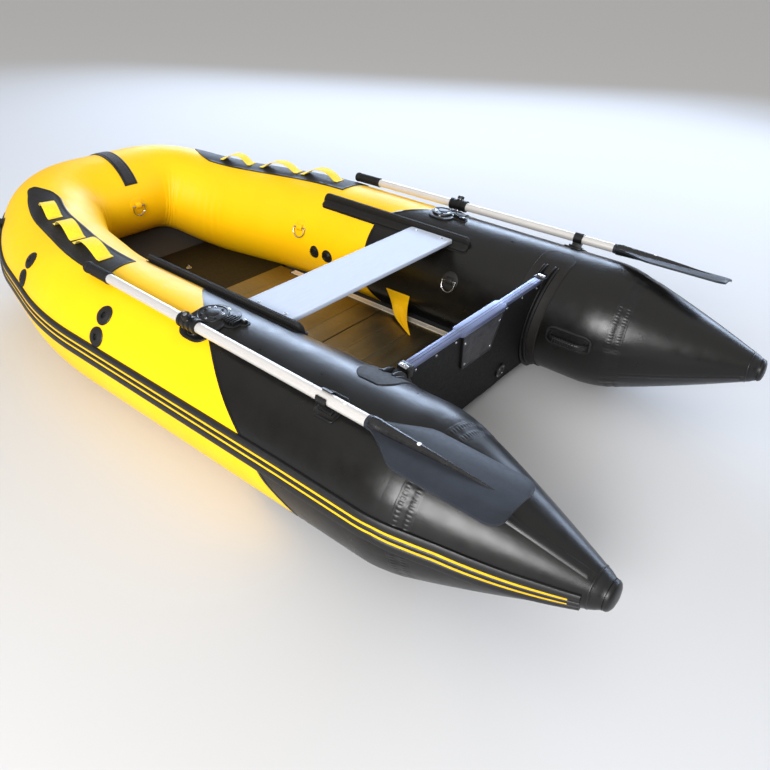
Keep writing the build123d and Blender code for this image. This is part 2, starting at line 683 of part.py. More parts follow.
def make_fittings():
    """Grab patches and loops, carry strap, rings, rope pads, valves and stern handles."""
    patched_hull = hull_form(patch_thickness + bond_gap)
    path = tube_path()
    start = tube_at(bend_x + grab_start)[0]
    cuts = [Cut(path[1][0], start, path[2][0], tube_r, grab_skew)]
    for i in (2, 3, 4):
        cuts.append(Cut(path[i - 1][0], path[i][0], path[i + 1][0], path[i][1]))
    strips = [wall_strip(cut, (grab_outer, grab_inner), bond_gap, patch_thickness) for cut in cuts]
    end, _, along = tube_at(shoulder_x + grab_end)
    fore_edge = Plane(origin=end, z_dir=Vector(along.X, along.Y, 0).rotate(Axis.Z, -grab_skew))
    patch = split(loft(strips, ruled=True), bisect_by=fore_edge, keep=Keep.BOTTOM)
    both_sides("grab_patch", patch)

    loops = None
    half = loop_span / 2
    under = half - loop_thickness
    low = -loop_root
    arch = make_face(Curve() + [
        ThreePointArc((-half, 0, low), (0, 0, loop_rise), (half, 0, low)),
        Line((half, 0, low), (under, 0, low)),
        ThreePointArc((under, 0, low), (0, 0, loop_rise - loop_thickness), (-under, 0, low)),
        Line((-under, 0, low), (-half, 0, low))])
    arch = extrude(arch, amount=loop_width / 2, dir=(0, 1, 0), both=True)
    for station in loop_stations:
        at, radius, along = tube_at(bend_x + station)
        up = along.cross(Vector(0, 0, 1).cross(along)).normalized()
        top = Plane(origin=at + up * (radius + patch_thickness), x_dir=along, z_dir=up)
        loop = (top * arch) - patched_hull
        loops = loop if loops is None else loops + loop
    both_sides("grab_loops", loops)

    band = make_face(Polyline((front_x + bow_r, -strap_half_width, front_z),
                              (front_x + bow_r + strap_thickness, -strap_half_width, front_z),
                              (front_x + bow_r + strap_thickness, strap_half_width, front_z),
                              (front_x + bow_r, strap_half_width, front_z), close=True))
    axle = Axis((front_x, 0, front_z), (0, -1, 0))
    nodes["bow_carry_strap"] = revolve(band.rotate(axle, strap_from), axis=axle,
                                       revolution_arc=strap_to - strap_from)

    at, radius, along = tube_at(front_x - tow_ring_setback)
    place = side_plane(at, radius, along, tow_ring_angle) * Rot(0, 0, 180)
    shell = panel_shell(at, radius, along)
    both_sides("tow_ring", d_ring(place, shell, tow_patch_radius, tow_ring_stand) - hull)

    rings = None
    for x in (bend_x + fore_ring_station, transom_x + aft_ring_station):
        at, radius, along = tube_at(x)
        place = side_plane(at, radius, along, inner_ring_angle)
        ring = d_ring(place, panel_shell(at, radius, along), ring_patch_radius, ring_stand) - hull
        rings = ring if rings is None else rings + ring
    rings = rings + mirror(rings, about=Plane.XZ)
    at, along = Vector(front_x, 0, front_z), Vector(0, -1, 0)
    place, shell = side_plane(at, bow_r, along, 180), panel_shell(at, bow_r, along)
    ring = d_ring(place, shell, ring_patch_radius, ring_stand) - hull
    nodes["inner_d_rings"] = rings + ring

    pads = None
    for station in pad_stations:
        at, radius, along = tube_at(bend_x + station)
        for angle in pad_angles:
            pad = Cylinder(pad_radius, 2 * pad_height) - Cylinder(pad_bore, 4 * pad_height)
            pad = (side_plane(at, radius, along, angle) * pad) - hull
            pads = pad if pads is None else pads + pad
    both_sides("rope_pads", pads)

    valves = None
    for station in valve_stations:
        at, radius, along = tube_at(bend_x + station)
        place = side_plane(at, radius, along, valve_angle)
        cap = Cylinder(valve_cap_radius, valve_cap_height)
        valve = Cylinder(valve_radius, valve_height)
        valve = valve + Pos(0, 0, (valve_height + valve_cap_height) / 2) * cap
        valve = (place * valve) - hull
        valves = valve if valves is None else valves + valve
    both_sides("air_valves", valves)

    x0, x1 = seam_x + handle_end, seam_x + handle_start
    spread = degrees(handle_half_width / tube_r)
    plate = tube_patch(x0, x1, handle_angle - spread, handle_angle + spread, handle_base)
    bar_r = tube_r + handle_reach
    bar = rod(on_tube(handle_angle, bar_r, x0 + handle_foot), on_tube(handle_angle, bar_r, x1 - handle_foot),
              handle_bar_radius)
    for x in (x0 + handle_foot, x1 - handle_foot):
        root = on_tube(handle_angle, tube_r - handle_root, x)
        bar = bar + rod(root, on_tube(handle_angle, bar_r, x), handle_post_radius)
        bar = bar + Pos(*on_tube(handle_angle, bar_r, x)) * Sphere(handle_post_radius)
    both_sides("stern_handle", plate + (bar - hull))


# ---------------------------------------------------------------- build and write
make_tubes()
make_strake()
make_transom()
make_bottom()
make_floor()
make_bench()
make_oar()
make_fittings()

os.makedirs("parts", exist_ok=True)
for name, shape in nodes.items():
    export_step(shape, os.path.join("parts", name + ".step"))
print(len(nodes), "nodes, overall length", round(overall_length, 1))
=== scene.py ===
import json
from math import atan2, cos, degrees, pi, radians, sin, sqrt
import bmesh
import bpy
import numpy as np
from mathutils import Matrix, Vector

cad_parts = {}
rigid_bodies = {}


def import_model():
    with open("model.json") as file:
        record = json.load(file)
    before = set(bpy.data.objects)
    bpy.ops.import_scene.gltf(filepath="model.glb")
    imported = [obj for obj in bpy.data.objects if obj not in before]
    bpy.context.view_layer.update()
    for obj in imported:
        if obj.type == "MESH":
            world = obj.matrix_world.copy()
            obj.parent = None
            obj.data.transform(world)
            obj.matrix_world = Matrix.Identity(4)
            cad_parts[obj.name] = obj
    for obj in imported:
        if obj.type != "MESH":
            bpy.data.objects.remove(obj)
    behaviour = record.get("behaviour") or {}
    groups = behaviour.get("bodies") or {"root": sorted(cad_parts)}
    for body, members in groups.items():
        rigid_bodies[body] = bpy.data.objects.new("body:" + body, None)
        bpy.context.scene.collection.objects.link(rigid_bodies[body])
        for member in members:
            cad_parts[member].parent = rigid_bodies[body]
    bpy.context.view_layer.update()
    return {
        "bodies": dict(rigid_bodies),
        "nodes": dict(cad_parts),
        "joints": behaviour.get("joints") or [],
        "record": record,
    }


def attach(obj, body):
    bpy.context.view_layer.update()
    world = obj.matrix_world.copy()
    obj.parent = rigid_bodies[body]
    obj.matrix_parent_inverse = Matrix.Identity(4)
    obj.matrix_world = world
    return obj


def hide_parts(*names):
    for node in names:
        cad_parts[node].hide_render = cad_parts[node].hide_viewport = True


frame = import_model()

# Metres, in the CAD frame: +X to the bow, +Y to port, +Z up. Outlines, profiles, blocks and
# bolts are given in millimetres.
mm = 0.001
UP = np.array([0, 0, 1.0])

# -- sizes that follow the CAD
TUBE_R, AXIS_Y, AXIS_Z = 0.215, 0.543, 0.215
SEAM, BEND, SHOULDER, FRONT = -0.9055, 0.4315, 0.9295, 1.1995
BOW_R, BOW_Z = 0.178, 0.299
CONE_END, CAP_X = -1.3665, -1.3425
TRANSOM_X, TRANSOM_Z, RAKE = -0.6955, 0.388, radians(6)
FLOOR_TOP, FLOOR_UNDER = 0.0645, 0.0532
KEEL_AFT, KEEL_FORE = -0.5905, 1.0045
RAIL_AFT, RAIL_FORE = -0.3725, 0.3235
PLANK_X = TRANSOM_X + 0.479
PIVOT = np.array([-0.1755, 0.64, 0.44])
SPLAY, PIN_LEAN, BLADE_ROLL = radians(1.5), radians(22), radians(16)
BLADE_U, CLIP_U = 0.64, 0.5


# -- materials
def linear(color):
    """An sRGB colour, 0 to 255, as linear values with a full alpha."""
    c = np.array(color) / 255
    return (*np.where(c <= 0.04045, c / 12.92, ((c + 0.055) / 1.055) ** 2.4), 1)


class Look:
    """A Principled material in the making, over the object's own coordinates."""

    def __init__(self, name):
        self.material = bpy.data.materials.new(name)
        self.material.use_nodes = True
        self.tree = self.material.node_tree
        self.tree.nodes.clear()
        self.at = self.node("TexCoord", {}).outputs["Object"]

    def node(self, kind, inputs, **settings):
        """A node; each input is a value or the socket that feeds it."""
        node = self.tree.nodes.new("ShaderNode" + kind)
        for name, value in settings.items():
            setattr(node, name, value)
        for name, value in inputs.items():
            if isinstance(value, bpy.types.NodeSocket):
                self.tree.links.new(value, node.inputs[name])
            else:
                node.inputs[name].default_value = value
        return node

    def noise(self, scale, detail, at=None):
        inputs = {"Scale": scale, "Detail": detail, "Vector": at or self.at}
        return self.node("TexNoise", inputs).outputs["Fac"]

    def wave(self, scale, axis):
        """Even parallel ridges across an axis."""
        return self.node("TexWave", {"Scale": scale, "Distortion": 0, "Vector": self.at},
            wave_type="BANDS", bands_direction=axis).outputs["Fac"]

    def span(self, value, low, high, least=0, most=1):
        """A value mapped from one range to another."""
        return self.node("MapRange", {"Value": value, "From Min": low, "From Max": high,
            "To Min": least, "To Max": most}).outputs["Result"]

    def bump(self, height, depth, strength, under=None):
        """A bump of a depth in millimetres, on top of another one."""
        inputs = {"Height": height, "Distance": depth * mm, "Strength": strength}
        if under:
            inputs["Normal"] = under
        return self.node("Bump", inputs).outputs["Normal"]

    def close(self, inputs):
        """The finished material, from its shader's inputs."""
        shader = self.node("BsdfPrincipled", inputs)
        self.node("OutputMaterial", {"Surface": shader.outputs["BSDF"]})
        return self.material

    def finish(self, colors, tint, wear, rough, normal, spec=0.5, **own):
        """Tint moves the material between two sRGB colours, and wear moves its roughness by
        (low, high, least, most); spec and own are the shader's own values."""
        base = self.node("Mix", {"A": linear(colors[0]), "B": linear(colors[1]),
            "Factor": self.span(tint, 0.3, 0.7)}, data_type="RGBA")
        return self.close({"Base Color": base.outputs["Result"], "Normal": normal,
            "Roughness": self.span(wear, *rough),
            "Specular IOR Level": spec, **own})


def coated(name, color, shade, rough, grain=0.25, soft=2.2, spec=0.5):
    """Rubber-coated fabric: slow swells, a fine grain and a slight change of colour."""
    look = Look(name)
    swells = look.bump(look.noise(9, 3), soft, 0.5)
    return look.finish((color, shade), look.noise(3, 4), look.noise(22, 5),
        (0.25, 0.75, rough - 0.05, rough + 0.06),
        look.bump(look.noise(700, 2), grain, 0.5, swells), spec)


def moulded(name, color, shade, rough, grain=0.15, scale=900, spec=0.5):
    """Moulded plastic or rubber, or painted wood, with a fine grain."""
    look = Look(name)
    return look.finish((color, shade), look.noise(40, 5), look.noise(120, 4),
        (0.25, 0.75, rough - 0.06, rough + 0.08),
        look.bump(look.noise(scale, 2), grain, 0.6), spec)


def brushed(name, color, shade, rough, stretch, metal=1, ribs=None, spec=0.5):
    """Drawn or brushed metal, with streaks along one direction and perhaps ribs at a pitch."""
    look = Look(name)
    along = look.node("Mapping", {"Scale": stretch, "Vector": look.at}).outputs["Vector"]
    streaks = look.noise(60, 4, along)
    normal = look.bump(streaks, 0.05, 0.5)
    if ribs:
        normal = look.bump(look.wave(1 / ribs / 2, "X"), 0.5, 1, normal)
    return look.finish((color, shade), streaks, streaks, (0.25, 0.75, rough - 0.06, rough + 0.07),
        normal, spec, Metallic=metal)


def woven(name, color, shade):
    """Webbing with crossing ridges."""
    look = Look(name)
    pitch, rough = 2.2 * mm, 0.75
    rows, columns = (look.wave(1 / pitch / 6.283 * 3.1416, axis) for axis in "XY")
    both = look.node("Math", {0: rows, 1: columns}, operation="MULTIPLY").outputs[0]
    return look.finish((color, shade), look.noise(160, 3), look.noise(90, 3),
        (0.3, 0.7, rough - 0.05, rough + 0.08), look.bump(both, 0.35, 0.8),
        **{"Sheen Weight": 0.15})


YELLOW = coated("yellow_tube_fabric", (254, 205, 8), (252, 194, 5), 0.46, spec=0.26)
BLACK = coated("black_tube_fabric", (15, 14, 13), (11, 10, 9), 0.31, soft=3, spec=0.38)
YELLOW_TAPE = coated("yellow_seam_tape", (251, 199, 8), (249, 188, 5), 0.48, spec=0.28)
BLACK_TAPE = coated("black_seam_tape", (14, 13, 13), (11, 10, 10), 0.34, spec=0.4)
PATCH = moulded("black_patch_rubber", (27, 24, 22), (20, 18, 17), 0.6, 0.3, 420, 0.35)
BLACK_RIM = moulded("black_rim_rubber", (13, 12, 13), (9, 9, 10), 0.45)
STRAKE = moulded("strake_rubber", (15, 14, 15), (11, 10, 11), 0.46)
PINSTRIPE = moulded("pinstripe_yellow", (238, 192, 20), (230, 180, 12), 0.5, spec=0.3)
BOTTOM = coated("bottom_fabric", (58, 58, 60), (48, 48, 50), 0.6, 0.4)
YELLOW_WEB = woven("yellow_webbing", (253, 222, 24), (249, 208, 14))
BLACK_WEB = woven("black_webbing", (28, 26, 30), (20, 19, 22))
FLOOR_METAL = brushed("floor_aluminium", (150, 138, 112), (132, 120, 94), 0.36, (0.4, 14, 1),
    ribs=0.011)
EDGE_METAL = brushed("stringer_aluminium", (232, 222, 204), (214, 203, 184), 0.38,
    (0.3, 14, 14), 0.35)
BENCH_METAL = brushed("bench_aluminium", (190, 198, 212), (182, 190, 205), 0.6,
    (14, 0.4, 14), 0.12, spec=0.25)
OAR_METAL = brushed("oar_aluminium", (216, 212, 208), (204, 201, 198), 0.34,
    (0.3, 14, 14), 0.35)
BOARD = moulded("bow_board_sheet", (12, 9, 7), (8, 6, 5), 0.55, 0.6, 160, 0.3)
TRANSOM = moulded("transom_ply", (11, 10, 9), (8, 7, 7), 0.58, 0.5, 60, 0.25)
# transom cap: grey metal whose blue-lilac colour is partly a painted sky reflection
TRIM_PAINTED_SKY = brushed("transom_trim", (118, 126, 158), (102, 110, 142), 0.36, (14, 0.3, 14), 0.6)
PLATE = moulded("motor_plate_plastic", (62, 61, 64), (38, 37, 40), 0.55, 1, 230)
PLASTIC = moulded("black_fitting_plastic", (17, 17, 18), (12, 12, 13), 0.36, spec=0.4)
OAR_PLASTIC = moulded("oar_plastic", (38, 42, 50), (32, 36, 43), 0.45, 0.2, 500, 0.3)
SPINE = moulded("oar_spine_plastic", (24, 24, 26), (17, 17, 19), 0.24, 0.03, 500)
GRIP = moulded("grip_rubber", (20, 19, 18), (14, 13, 13), 0.66, 0.3, 500, 0.35)
STEEL = brushed("stainless_fittings", (205, 205, 208), (186, 186, 190), 0.24, (6, 6, 6))
BUTTON = moulded("white_button", (235, 235, 235), (222, 222, 224), 0.35)


# -- mesh building
def put(name, data):
    """A new object in the scene."""
    obj = bpy.data.objects.new(name, data)
    bpy.context.scene.collection.objects.link(obj)
    return obj


def unit(v):
    """Vectors brought to a length of 1."""
    return v / np.linalg.norm(v, axis=-1, keepdims=True)


def ease(x):
    x = np.clip(x, 0, 1)
    return x * x * (3 - 2 * x)


def both_ways(half):
    """Values from 0 up, and before them the same ones below 0."""
    return np.concatenate([-half[:0:-1], half])


def around(count):
    """Even angles round a turn."""
    return np.arange(count) * 2 * pi / count


class Shape:
    """Vertices and faces in metres, each face with a material index, gathered into one mesh."""

    def __init__(self):
        self.verts, self.faces, self.mats, self.count = [], [], [], 0

    def add(self, verts, faces, mat=0):
        """Takes in faces over points; mat is one material index, or one for each face."""
        verts = np.asarray(verts, float).reshape(-1, 3)
        self.verts.append(verts)
        self.faces += [tuple(i + self.count for i in f) for f in faces]
        self.mats += np.broadcast_to(mat, len(faces)).tolist()
        self.count += len(verts)
        return self

    def grid(self, points, mat=0, wrap=True, first=False, last=False):
        """Quads over rows of points, wrapped round or not; the first and the last row may take
        a face of their own."""
        points = np.asarray(points, float)
        rows, cols = points.shape[:2]
        faces = [(i * cols + j, i * cols + (j + 1) % cols, (i + 1) * cols + (j + 1) % cols,
            (i + 1) * cols + j)
            for i in range(rows - 1) for j in range(cols if wrap else cols - 1)]
        if first:
            faces.append(tuple(range(cols - 1, -1, -1)))
        if last:
            faces.append(tuple(range((rows - 1) * cols, rows * cols)))
        return self.add(points, faces, mat)

    def mirrored(self):
        points = np.concatenate(self.verts) * (1, -1, 1)
        return Shape().add(points, [f[::-1] for f in self.faces], self.mats)

    def build(self, name, mats, node=None, crease=38, body="hull", slot=None):
        """The mesh as a piece that rides on a body and may take a CAD node's place. The slot
        argument is not used."""
        mesh = bpy.data.meshes.new(name)
        mesh.from_pydata(np.concatenate(self.verts).tolist(), [], self.faces)
        for m in mats:
            mesh.materials.append(m)
        mesh.polygons.foreach_set("material_index", self.mats)
        bm = bmesh.new()
        bm.from_mesh(mesh)
        bmesh.ops.remove_doubles(bm, verts=bm.verts, dist=0.00002)
        bmesh.ops.recalc_face_normals(bm, faces=bm.faces)
        for f in bm.faces:
            f.smooth = True
        for e in bm.edges:
            if len(e.link_faces) == 2:
                e.smooth = e.calc_face_angle(0) < radians(crease)
        bm.to_mesh(mesh)
        bm.free()
        obj = put(name, mesh)
        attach(obj, body)
        if node:
            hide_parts(node)
        return obj


def pair(shape, name, mats, node=None, crease=38, body="hull", slot=None,
        starboard=None):
    """Builds a port shape and the mirror image of it or of another one, on the hull or oars."""
    for word, s in (("port", shape), ("starboard", (starboard or shape).mirrored())):
        s.build(f"{word}_{name}", mats, node and f"{word}_{node}", crease,
            f"{word}_oar" if body == "oar" else body, slot)


def loft(shape, sections, mat=0):
    """A closed skin over cross-sections with the same number of points."""
    shape.grid(sections, mat, first=True, last=True)


def sweep(shape, points, outline, mat=0, up=UP, scale=1):
    """An outline of (side, up) points carried along a line, turned as little as may be."""
    points = np.asarray(points, float)
    along = unit(np.gradient(points, axis=0))
    side = np.cross(up, along[0])
    sections = []
    for at, d, k in zip(points, along, np.broadcast_to(scale, len(points))):
        side = unit(side - d * side.dot(d))
        sections.append(at + k * (outline[:, :1] * side + outline[:, 1:] * np.cross(d, side)))
    loft(shape, sections, mat)


def straight(x0, x1, count, y, z):
    """Points of a line along x."""
    return [(x, y, z) for x in np.linspace(x0, x1, count)]


def circle(radius, count):
    """The outline of a circle."""
    return radius * mm * np.stack([np.cos(around(count)), np.sin(around(count))], 1)


def rounded(width, height, radius, steps):
    """The outline of a rectangle with round corners."""
    corners = [(x, y, radians(start + 90 * i / steps)) for x, y, start in (
        (1, 1, 0), (-1, 1, 90), (-1, -1, 180), (1, -1, 270)) for i in range(steps + 1)]
    return mm * np.array([(x * (width / 2 - radius) + radius * cos(a),
        y * (height / 2 - radius) + radius * sin(a)) for x, y, a in corners])


def turned(shape, at, axis, profile, mat, count):
    """A round piece about an axis, from (height, radius) points."""
    axis = unit(axis)
    u = np.cross(axis, (1, 0, 0))
    if np.linalg.norm(u) < 1e-6:
        u = np.cross(axis, (0, 1, 0))
    u = unit(u)
    a = around(count)[:, None]
    spokes = np.cos(a) * u + np.sin(a) * np.cross(axis, u)
    loft(shape, [at + axis * h * mm + max(r * mm, 1e-5) * spokes for h, r in profile], mat)


def bolt(shape, at, axis, radius, height, mat):
    """A round bolt head with a washer and a hollow."""
    turned(shape, at, axis, [(-1, radius * 1.5), (0.8, radius * 1.5), (1.1, radius * 1.35),
        (1.1, radius), (height * 0.8, radius), (height, radius * 0.8),
        (height, radius * 0.45), (height * 0.5, radius * 0.4),
        (height * 0.5, 0)], mat, 16)


def place(origin, x=(1, 0, 0), y=(0, 1, 0), z=(0, 0, 1)):
    """A 4x4 matrix from an origin and three directions."""
    m = np.eye(4)
    m[:3, 0], m[:3, 1], m[:3, 2], m[:3, 3] = x, y, z, origin
    return m


def block(shape, size, where, radius, mat=0):
    """A box with rounded edges, about its middle, put through a 4x4 matrix."""
    bm = bmesh.new()
    bmesh.ops.create_cube(bm, size=1)
    for v in bm.verts:
        v.co = Vector([a * b * mm for a, b in zip(v.co, size)])
    bmesh.ops.bevel(bm, geom=bm.edges, offset=min(radius, 0.45 * min(size)) * mm, segments=2,
        affect="EDGES", profile=0.5)
    bm.verts.ensure_lookup_table()
    points = np.array([v.co[:] for v in bm.verts])
    faces = [tuple(v.index for v in f.verts) for f in bm.faces]
    bm.free()
    shape.add(points @ where[:3, :3].T + where[:3, 3], faces, mat)


# -- the hull's skin
class Hull:
    """The air tubes as one smooth tube. Points are (s, angle, lift): s runs along the axis from
    the port cone's end round the bow, angle is 0 outboard, 90 on top and 180 inboard."""

    def __init__(self):
        half = [(CONE_END, 0.563, 0.234, 0.038), (SEAM, AXIS_Y, AXIS_Z, TUBE_R),
            (BEND, AXIS_Y, AXIS_Z, TUBE_R), (SHOULDER, 0.427, AXIS_Z, 0.204),
            (FRONT, 0.271, BOW_Z, BOW_R), (FRONT, 0, BOW_Z, BOW_R)]
        pts = np.array(half + [(x, -y, z, r) for x, y, z, r in half[-2::-1]])
        rounding = [0, 0.06, 0.15, 0.13, 0.15, 0, 0.15, 0.13, 0.15, 0.06, 0]
        line = []
        for i, (p, reach) in enumerate(zip(pts, rounding)):
            if reach == 0:
                line.append(p)
                continue
            a, b = (p + (q - p) / np.linalg.norm((q - p)[:3]) * reach
                for q in (pts[i - 1], pts[i + 1]))
            line += [a * (1 - t) ** 2 + 2 * t * (1 - t) * p + b * t * t
                for t in np.linspace(0, 1, 25)]
        line = np.array(line)
        run = np.append(0, np.cumsum(np.linalg.norm(np.diff(line[:, :3], axis=0), axis=1)))
        self.length = run[-1]
        self.s = np.linspace(0, self.length, 1501)
        self.line = np.stack([np.interp(self.s, run, values) for values in line.T], 1)
        self.along = unit(np.gradient(self.line[:, :3], axis=0))
        self.out = unit(np.cross(UP, self.along))
        self.up = np.cross(self.along, self.out)

    def at_x(self, x):
        """s on the port side at a station."""
        port = slice(len(self.s) // 2 + 1)
        return float(np.interp(x, self.line[port, 0], self.s[port]))

    def pick(self, table, s):
        """A table of values along the axis, read at s."""
        return np.stack([np.interp(s, self.s, values) for values in table.T], -1)

    def radius(self, s):
        return np.interp(s, self.s, self.line[:, 3])

    def off(self, s, angle):
        """The direction off the wall."""
        a = np.radians(angle)[..., None]
        return self.pick(self.out, s) * np.cos(a) + self.pick(self.up, s) * np.sin(a)

    def point(self, s, angle, lift=0):
        """Points on the wall; s, angle in degrees and lift may be arrays that fit each other."""
        s, angle, lift = np.broadcast_arrays(s, angle, lift)
        centre = self.pick(self.line, s)
        return centre[..., :3] + self.off(s, angle) * (centre[..., 3:] + lift[..., None])

    def frame(self, s, angle, lift=0):
        """A matrix off the wall by a lift: along the tube, round it, and off it."""
        off = self.off(s, np.asarray(angle))
        along = self.pick(self.along, s)
        along = unit(along - off * along.dot(off))
        return place(self.point(s, angle) + off * lift, along, np.cross(off, along), off)


H = Hull()
MIDDLE = H.length / 2
S_SEAM, S_BEND, S_SHOULDER, S_CAP = (H.at_x(x) for x in (SEAM, BEND, SHOULDER, CAP_X))
S_RING = S_SEAM - 0.06
TURN = -33 + np.arange(112) * 360 / 112

# the colour boundary on the port tube, as (angle, station)
EDGE = np.array([(-33, -0.655), (-18, -0.622), (-9, -0.572), (8, -0.524), (18.6, -0.476),
    (31.6, -0.409), (43.7, -0.351), (62, -0.263), (80, -0.168), (92, -0.108), (100, -0.066),
    (108, -0.027), (117, 0.01), (124, 0.026), (131, 0.033), (147, 0.037), (200, 0.037),
    (240, -0.03), (275, -0.19), (305, -0.45), (327, -0.655)]).T


def ripple(angle):
    """A fixed uneven wave round a tube, about -1 to 1; every second draw goes unused."""
    draws = np.random.default_rng(4)
    total = 0
    for k in (9, 14, 21, 29, 37):
        phase, _ = draws.uniform(0, 6.28), draws.uniform(-9, 9)
        total = total + np.sin(np.radians(angle) * k + phase) / 2.2
    return total


def swell(s):
    """The cones' own bulge, with no seams."""
    cone = S_SEAM - np.minimum(s, H.length - s)
    return 0.006 * np.sin(np.clip(cone / 0.461, 0, 1) * pi)


def skin_lift(s, angle):
    """How far the real skin lies off the plain tube: seams pull in, and cloth puckers at them."""
    from_end = np.minimum(s, H.length - s)
    d = from_end - S_RING
    lift = (swell(s) - 1.8 * mm * np.exp(-(d / 0.03) ** 2)
        + 0.9 * mm * np.exp(-np.abs(d) / 0.04) * ripple(angle))
    for seam in (S_BEND, S_SHOULDER, MIDDLE - 0.245, MIDDLE):
        d = from_end - seam
        lift += 0.7 * mm * ease((0.016 - np.abs(d)) / 0.0025) - 0.8 * mm * np.exp(-(d / 0.02) ** 2)
    inboard = np.exp(-((angle % 360 - 195) / 38) ** 2)
    for fold in (S_SHOULDER, H.length - S_SHOULDER, MIDDLE - 0.27, MIDDLE + 0.27):
        d = s - fold
        lift += 1.2 * mm * inboard * np.exp(-(d / 0.1) ** 2) * np.sin(d * 130)
    return lift


def skin(shape, s0, s1, rows):
    """A length of the tubes' skin between two lines, each a number or one value per column."""
    s = s0 + (s1 - s0) * np.linspace(0, 1, rows)[:, None]
    shape.grid(H.point(s, TURN, skin_lift(s, TURN)))


def wall_band(shape, s, angles, lifts, mats):
    """A moulded band along the tubes: a cross-section of angles and lifts, carried along s."""
    mats = np.broadcast_to(mats, (len(s) - 1, angles.shape[1])).ravel()
    loft(shape, H.point(s[:, None], angles, lifts), [*mats, mats[0], mats[0]])


def wall_disc(shape, s0, a0, rings, count):
    """A round moulding on the wall: rings of (radius, lift), with a material each or none."""
    mats = np.repeat([(*ring, 0)[2] for ring in rings], count)
    phi = around(count)
    points = [H.point(s0 + ring[0] * mm * np.cos(phi),
        a0 + np.degrees(ring[0] * mm * np.sin(phi) / H.radius(s0)), ring[1] * mm)
        for ring in rings]
    shape.grid(points, mats[:(len(rings) - 1) * count + 1], last=True)


# yellow bow chamber
border = S_SEAM - SEAM + np.mean([np.interp((TURN + shift + 33) % 360 - 33, *EDGE)
    for shift in (-5, -2.5, 0, 2.5, 5)], 0)
bow = Shape()
skin(bow, border + 0.002, H.length - border - 0.002, 470)
bow.build("bow_tube_skin", [YELLOW], "bow_tube", 60)

# black side tubes: their front edge laps over the yellow fabric
aft = Shape()
skin(aft, S_SEAM, border, 110)
aft.grid([H.point(border + ahead * mm, TURN, lift * mm)
    for ahead, lift in ((-1, 0), (-1, 0.9), (10, 0.9), (10.8, 0))])
pair(aft, "aft_tube_skin", [BLACK], "aft_tube", 60)

# tail cones, with two long seams each and a glued ring
cone = Shape()
skin(cone, S_SEAM, S_CAP - 0.004, 130)
s = np.linspace(S_CAP, S_SEAM - 0.09, 60)
for middle in (62, 205):
    angles = middle + np.degrees(0.011 / H.radius(s))[:, None] * np.array([-1, -0.9, 0.9, 1])
    lifts = skin_lift(s[:, None], angles) + np.array([-0.5, 0.9, 0.9, -0.5]) * mm
    wall_band(cone, s, angles, lifts, 1)
RING_HALF = 0.026
d = np.linspace(-RING_HALF, RING_HALF, 27)[:, None]
angles = np.arange(720) * 0.5
a = np.radians(angles)
rows = np.exp(-((d - 0.0125) / 0.0058) ** 4) + np.exp(-((d + 0.0125) / 0.0058) ** 4)
ridges = np.abs(np.sin(a * 58 + 0.5 * np.sin(a * 7))) ** 0.8
patchy = 0.35 + 0.65 * (0.5 + 0.5 * np.sin(a * 3 + 1)) ** 0.7
edge = np.clip((RING_HALF - np.abs(d)) / 0.002, 0, 1)
lifts = mm * (edge * 0.5 - 0.2 + 1.15 * rows * ridges * patchy) + skin_lift(S_RING + d, angles)
cone.grid(H.point(S_RING + d, angles, lifts), 1)
pair(cone, "tail_cone_skin", [BLACK, BLACK_TAPE], "tail_cone", 60)

# rubber caps on the cones' ends: a thin lip, then smooth down to a blunt end
cap = Shape()
rings = [H.point(s, np.arange(48) * 7.5, lift * mm + skin_lift(s, 0)) for s, lift in (
    (S_CAP + 0.004, 0.1), (S_CAP + 0.0036, 1.3), (S_CAP + 0.002, 1.9), (S_CAP + 0.0006, 1.3),
    (S_CAP - 0.0004, -0.6), (S_CAP - 0.0016, -0.8), (S_CAP - 0.0028, 0.6),
    (S_CAP - 0.01, 0.4), (0.008, -0.6), (0.002, -1.6))]
rim = rings[-1] - rings[-1].mean(0)
rings += [H.line[0, :3] - (aft_by * mm, 0, 0) + rim * k for aft_by, k in (
    (1, 0.985), (1.4, 0.93), (2.2, 0.93), (3, 0.97), (8, 0.95), (12.5, 0.86),
    (16, 0.68), (18, 0.42), (18.8, 0.15), (19, 0.02))]
loft(cap, rings)
pair(cap, "cone_cap_moulding", [PLASTIC], "cone_cap", 40)

# rub strake: a wide black rib over two yellow pinstripes, which stop on the cones
section = np.array([
    (1.2, 0.1), (1, 3.4), (1.3, 6.2), (2.2, 7.6), (4.8, 7.6), (6.1, 6.4), (6.6, 4.6),
    (8.15, 4.6), (8.8, 6.2), (9.3, 6.9), (10.2, 6.9), (10.8, 6.2), (11.3, 4.6), (12.85, 4.6),
    (13.5, 6), (14.2, 7.4), (15.5, 8), (17, 7.6), (17.9, 6), (18.3, 3), (18.4, 0.1)])
PINSTRIPE_FACES, PLAIN_END = (6, 12), H.at_x(-1.311)
colours = np.isin(np.arange(len(section)), PINSTRIPE_FACES).astype(int)
s = np.linspace(S_CAP + 0.012, H.length - S_CAP - 0.012, 520)
from_end = np.minimum(s, H.length - s)
runs = [S_CAP, PLAIN_END, H.at_x(-1.2), H.at_x(-1.05), S_SEAM, S_SEAM + 0.3]
centre = np.interp(from_end, runs, [-11, -9.5, -3.5, 5, 8.6, 9.7])[:, None]
widen = np.interp(from_end, runs, [3.1, 2.75, 2, 1.35, 1, 1])[:, None]
strake = Shape()
wall_band(strake, s, centre + (section[:, 0] - 9.7) * widen,
    section[:, 1] * mm + swell(s)[:, None],
    np.where(from_end[:-1, None] < PLAIN_END, 0, colours))
strake.build("rub_strake_band", [STRAKE, PINSTRIPE], "rub_strake", 30)

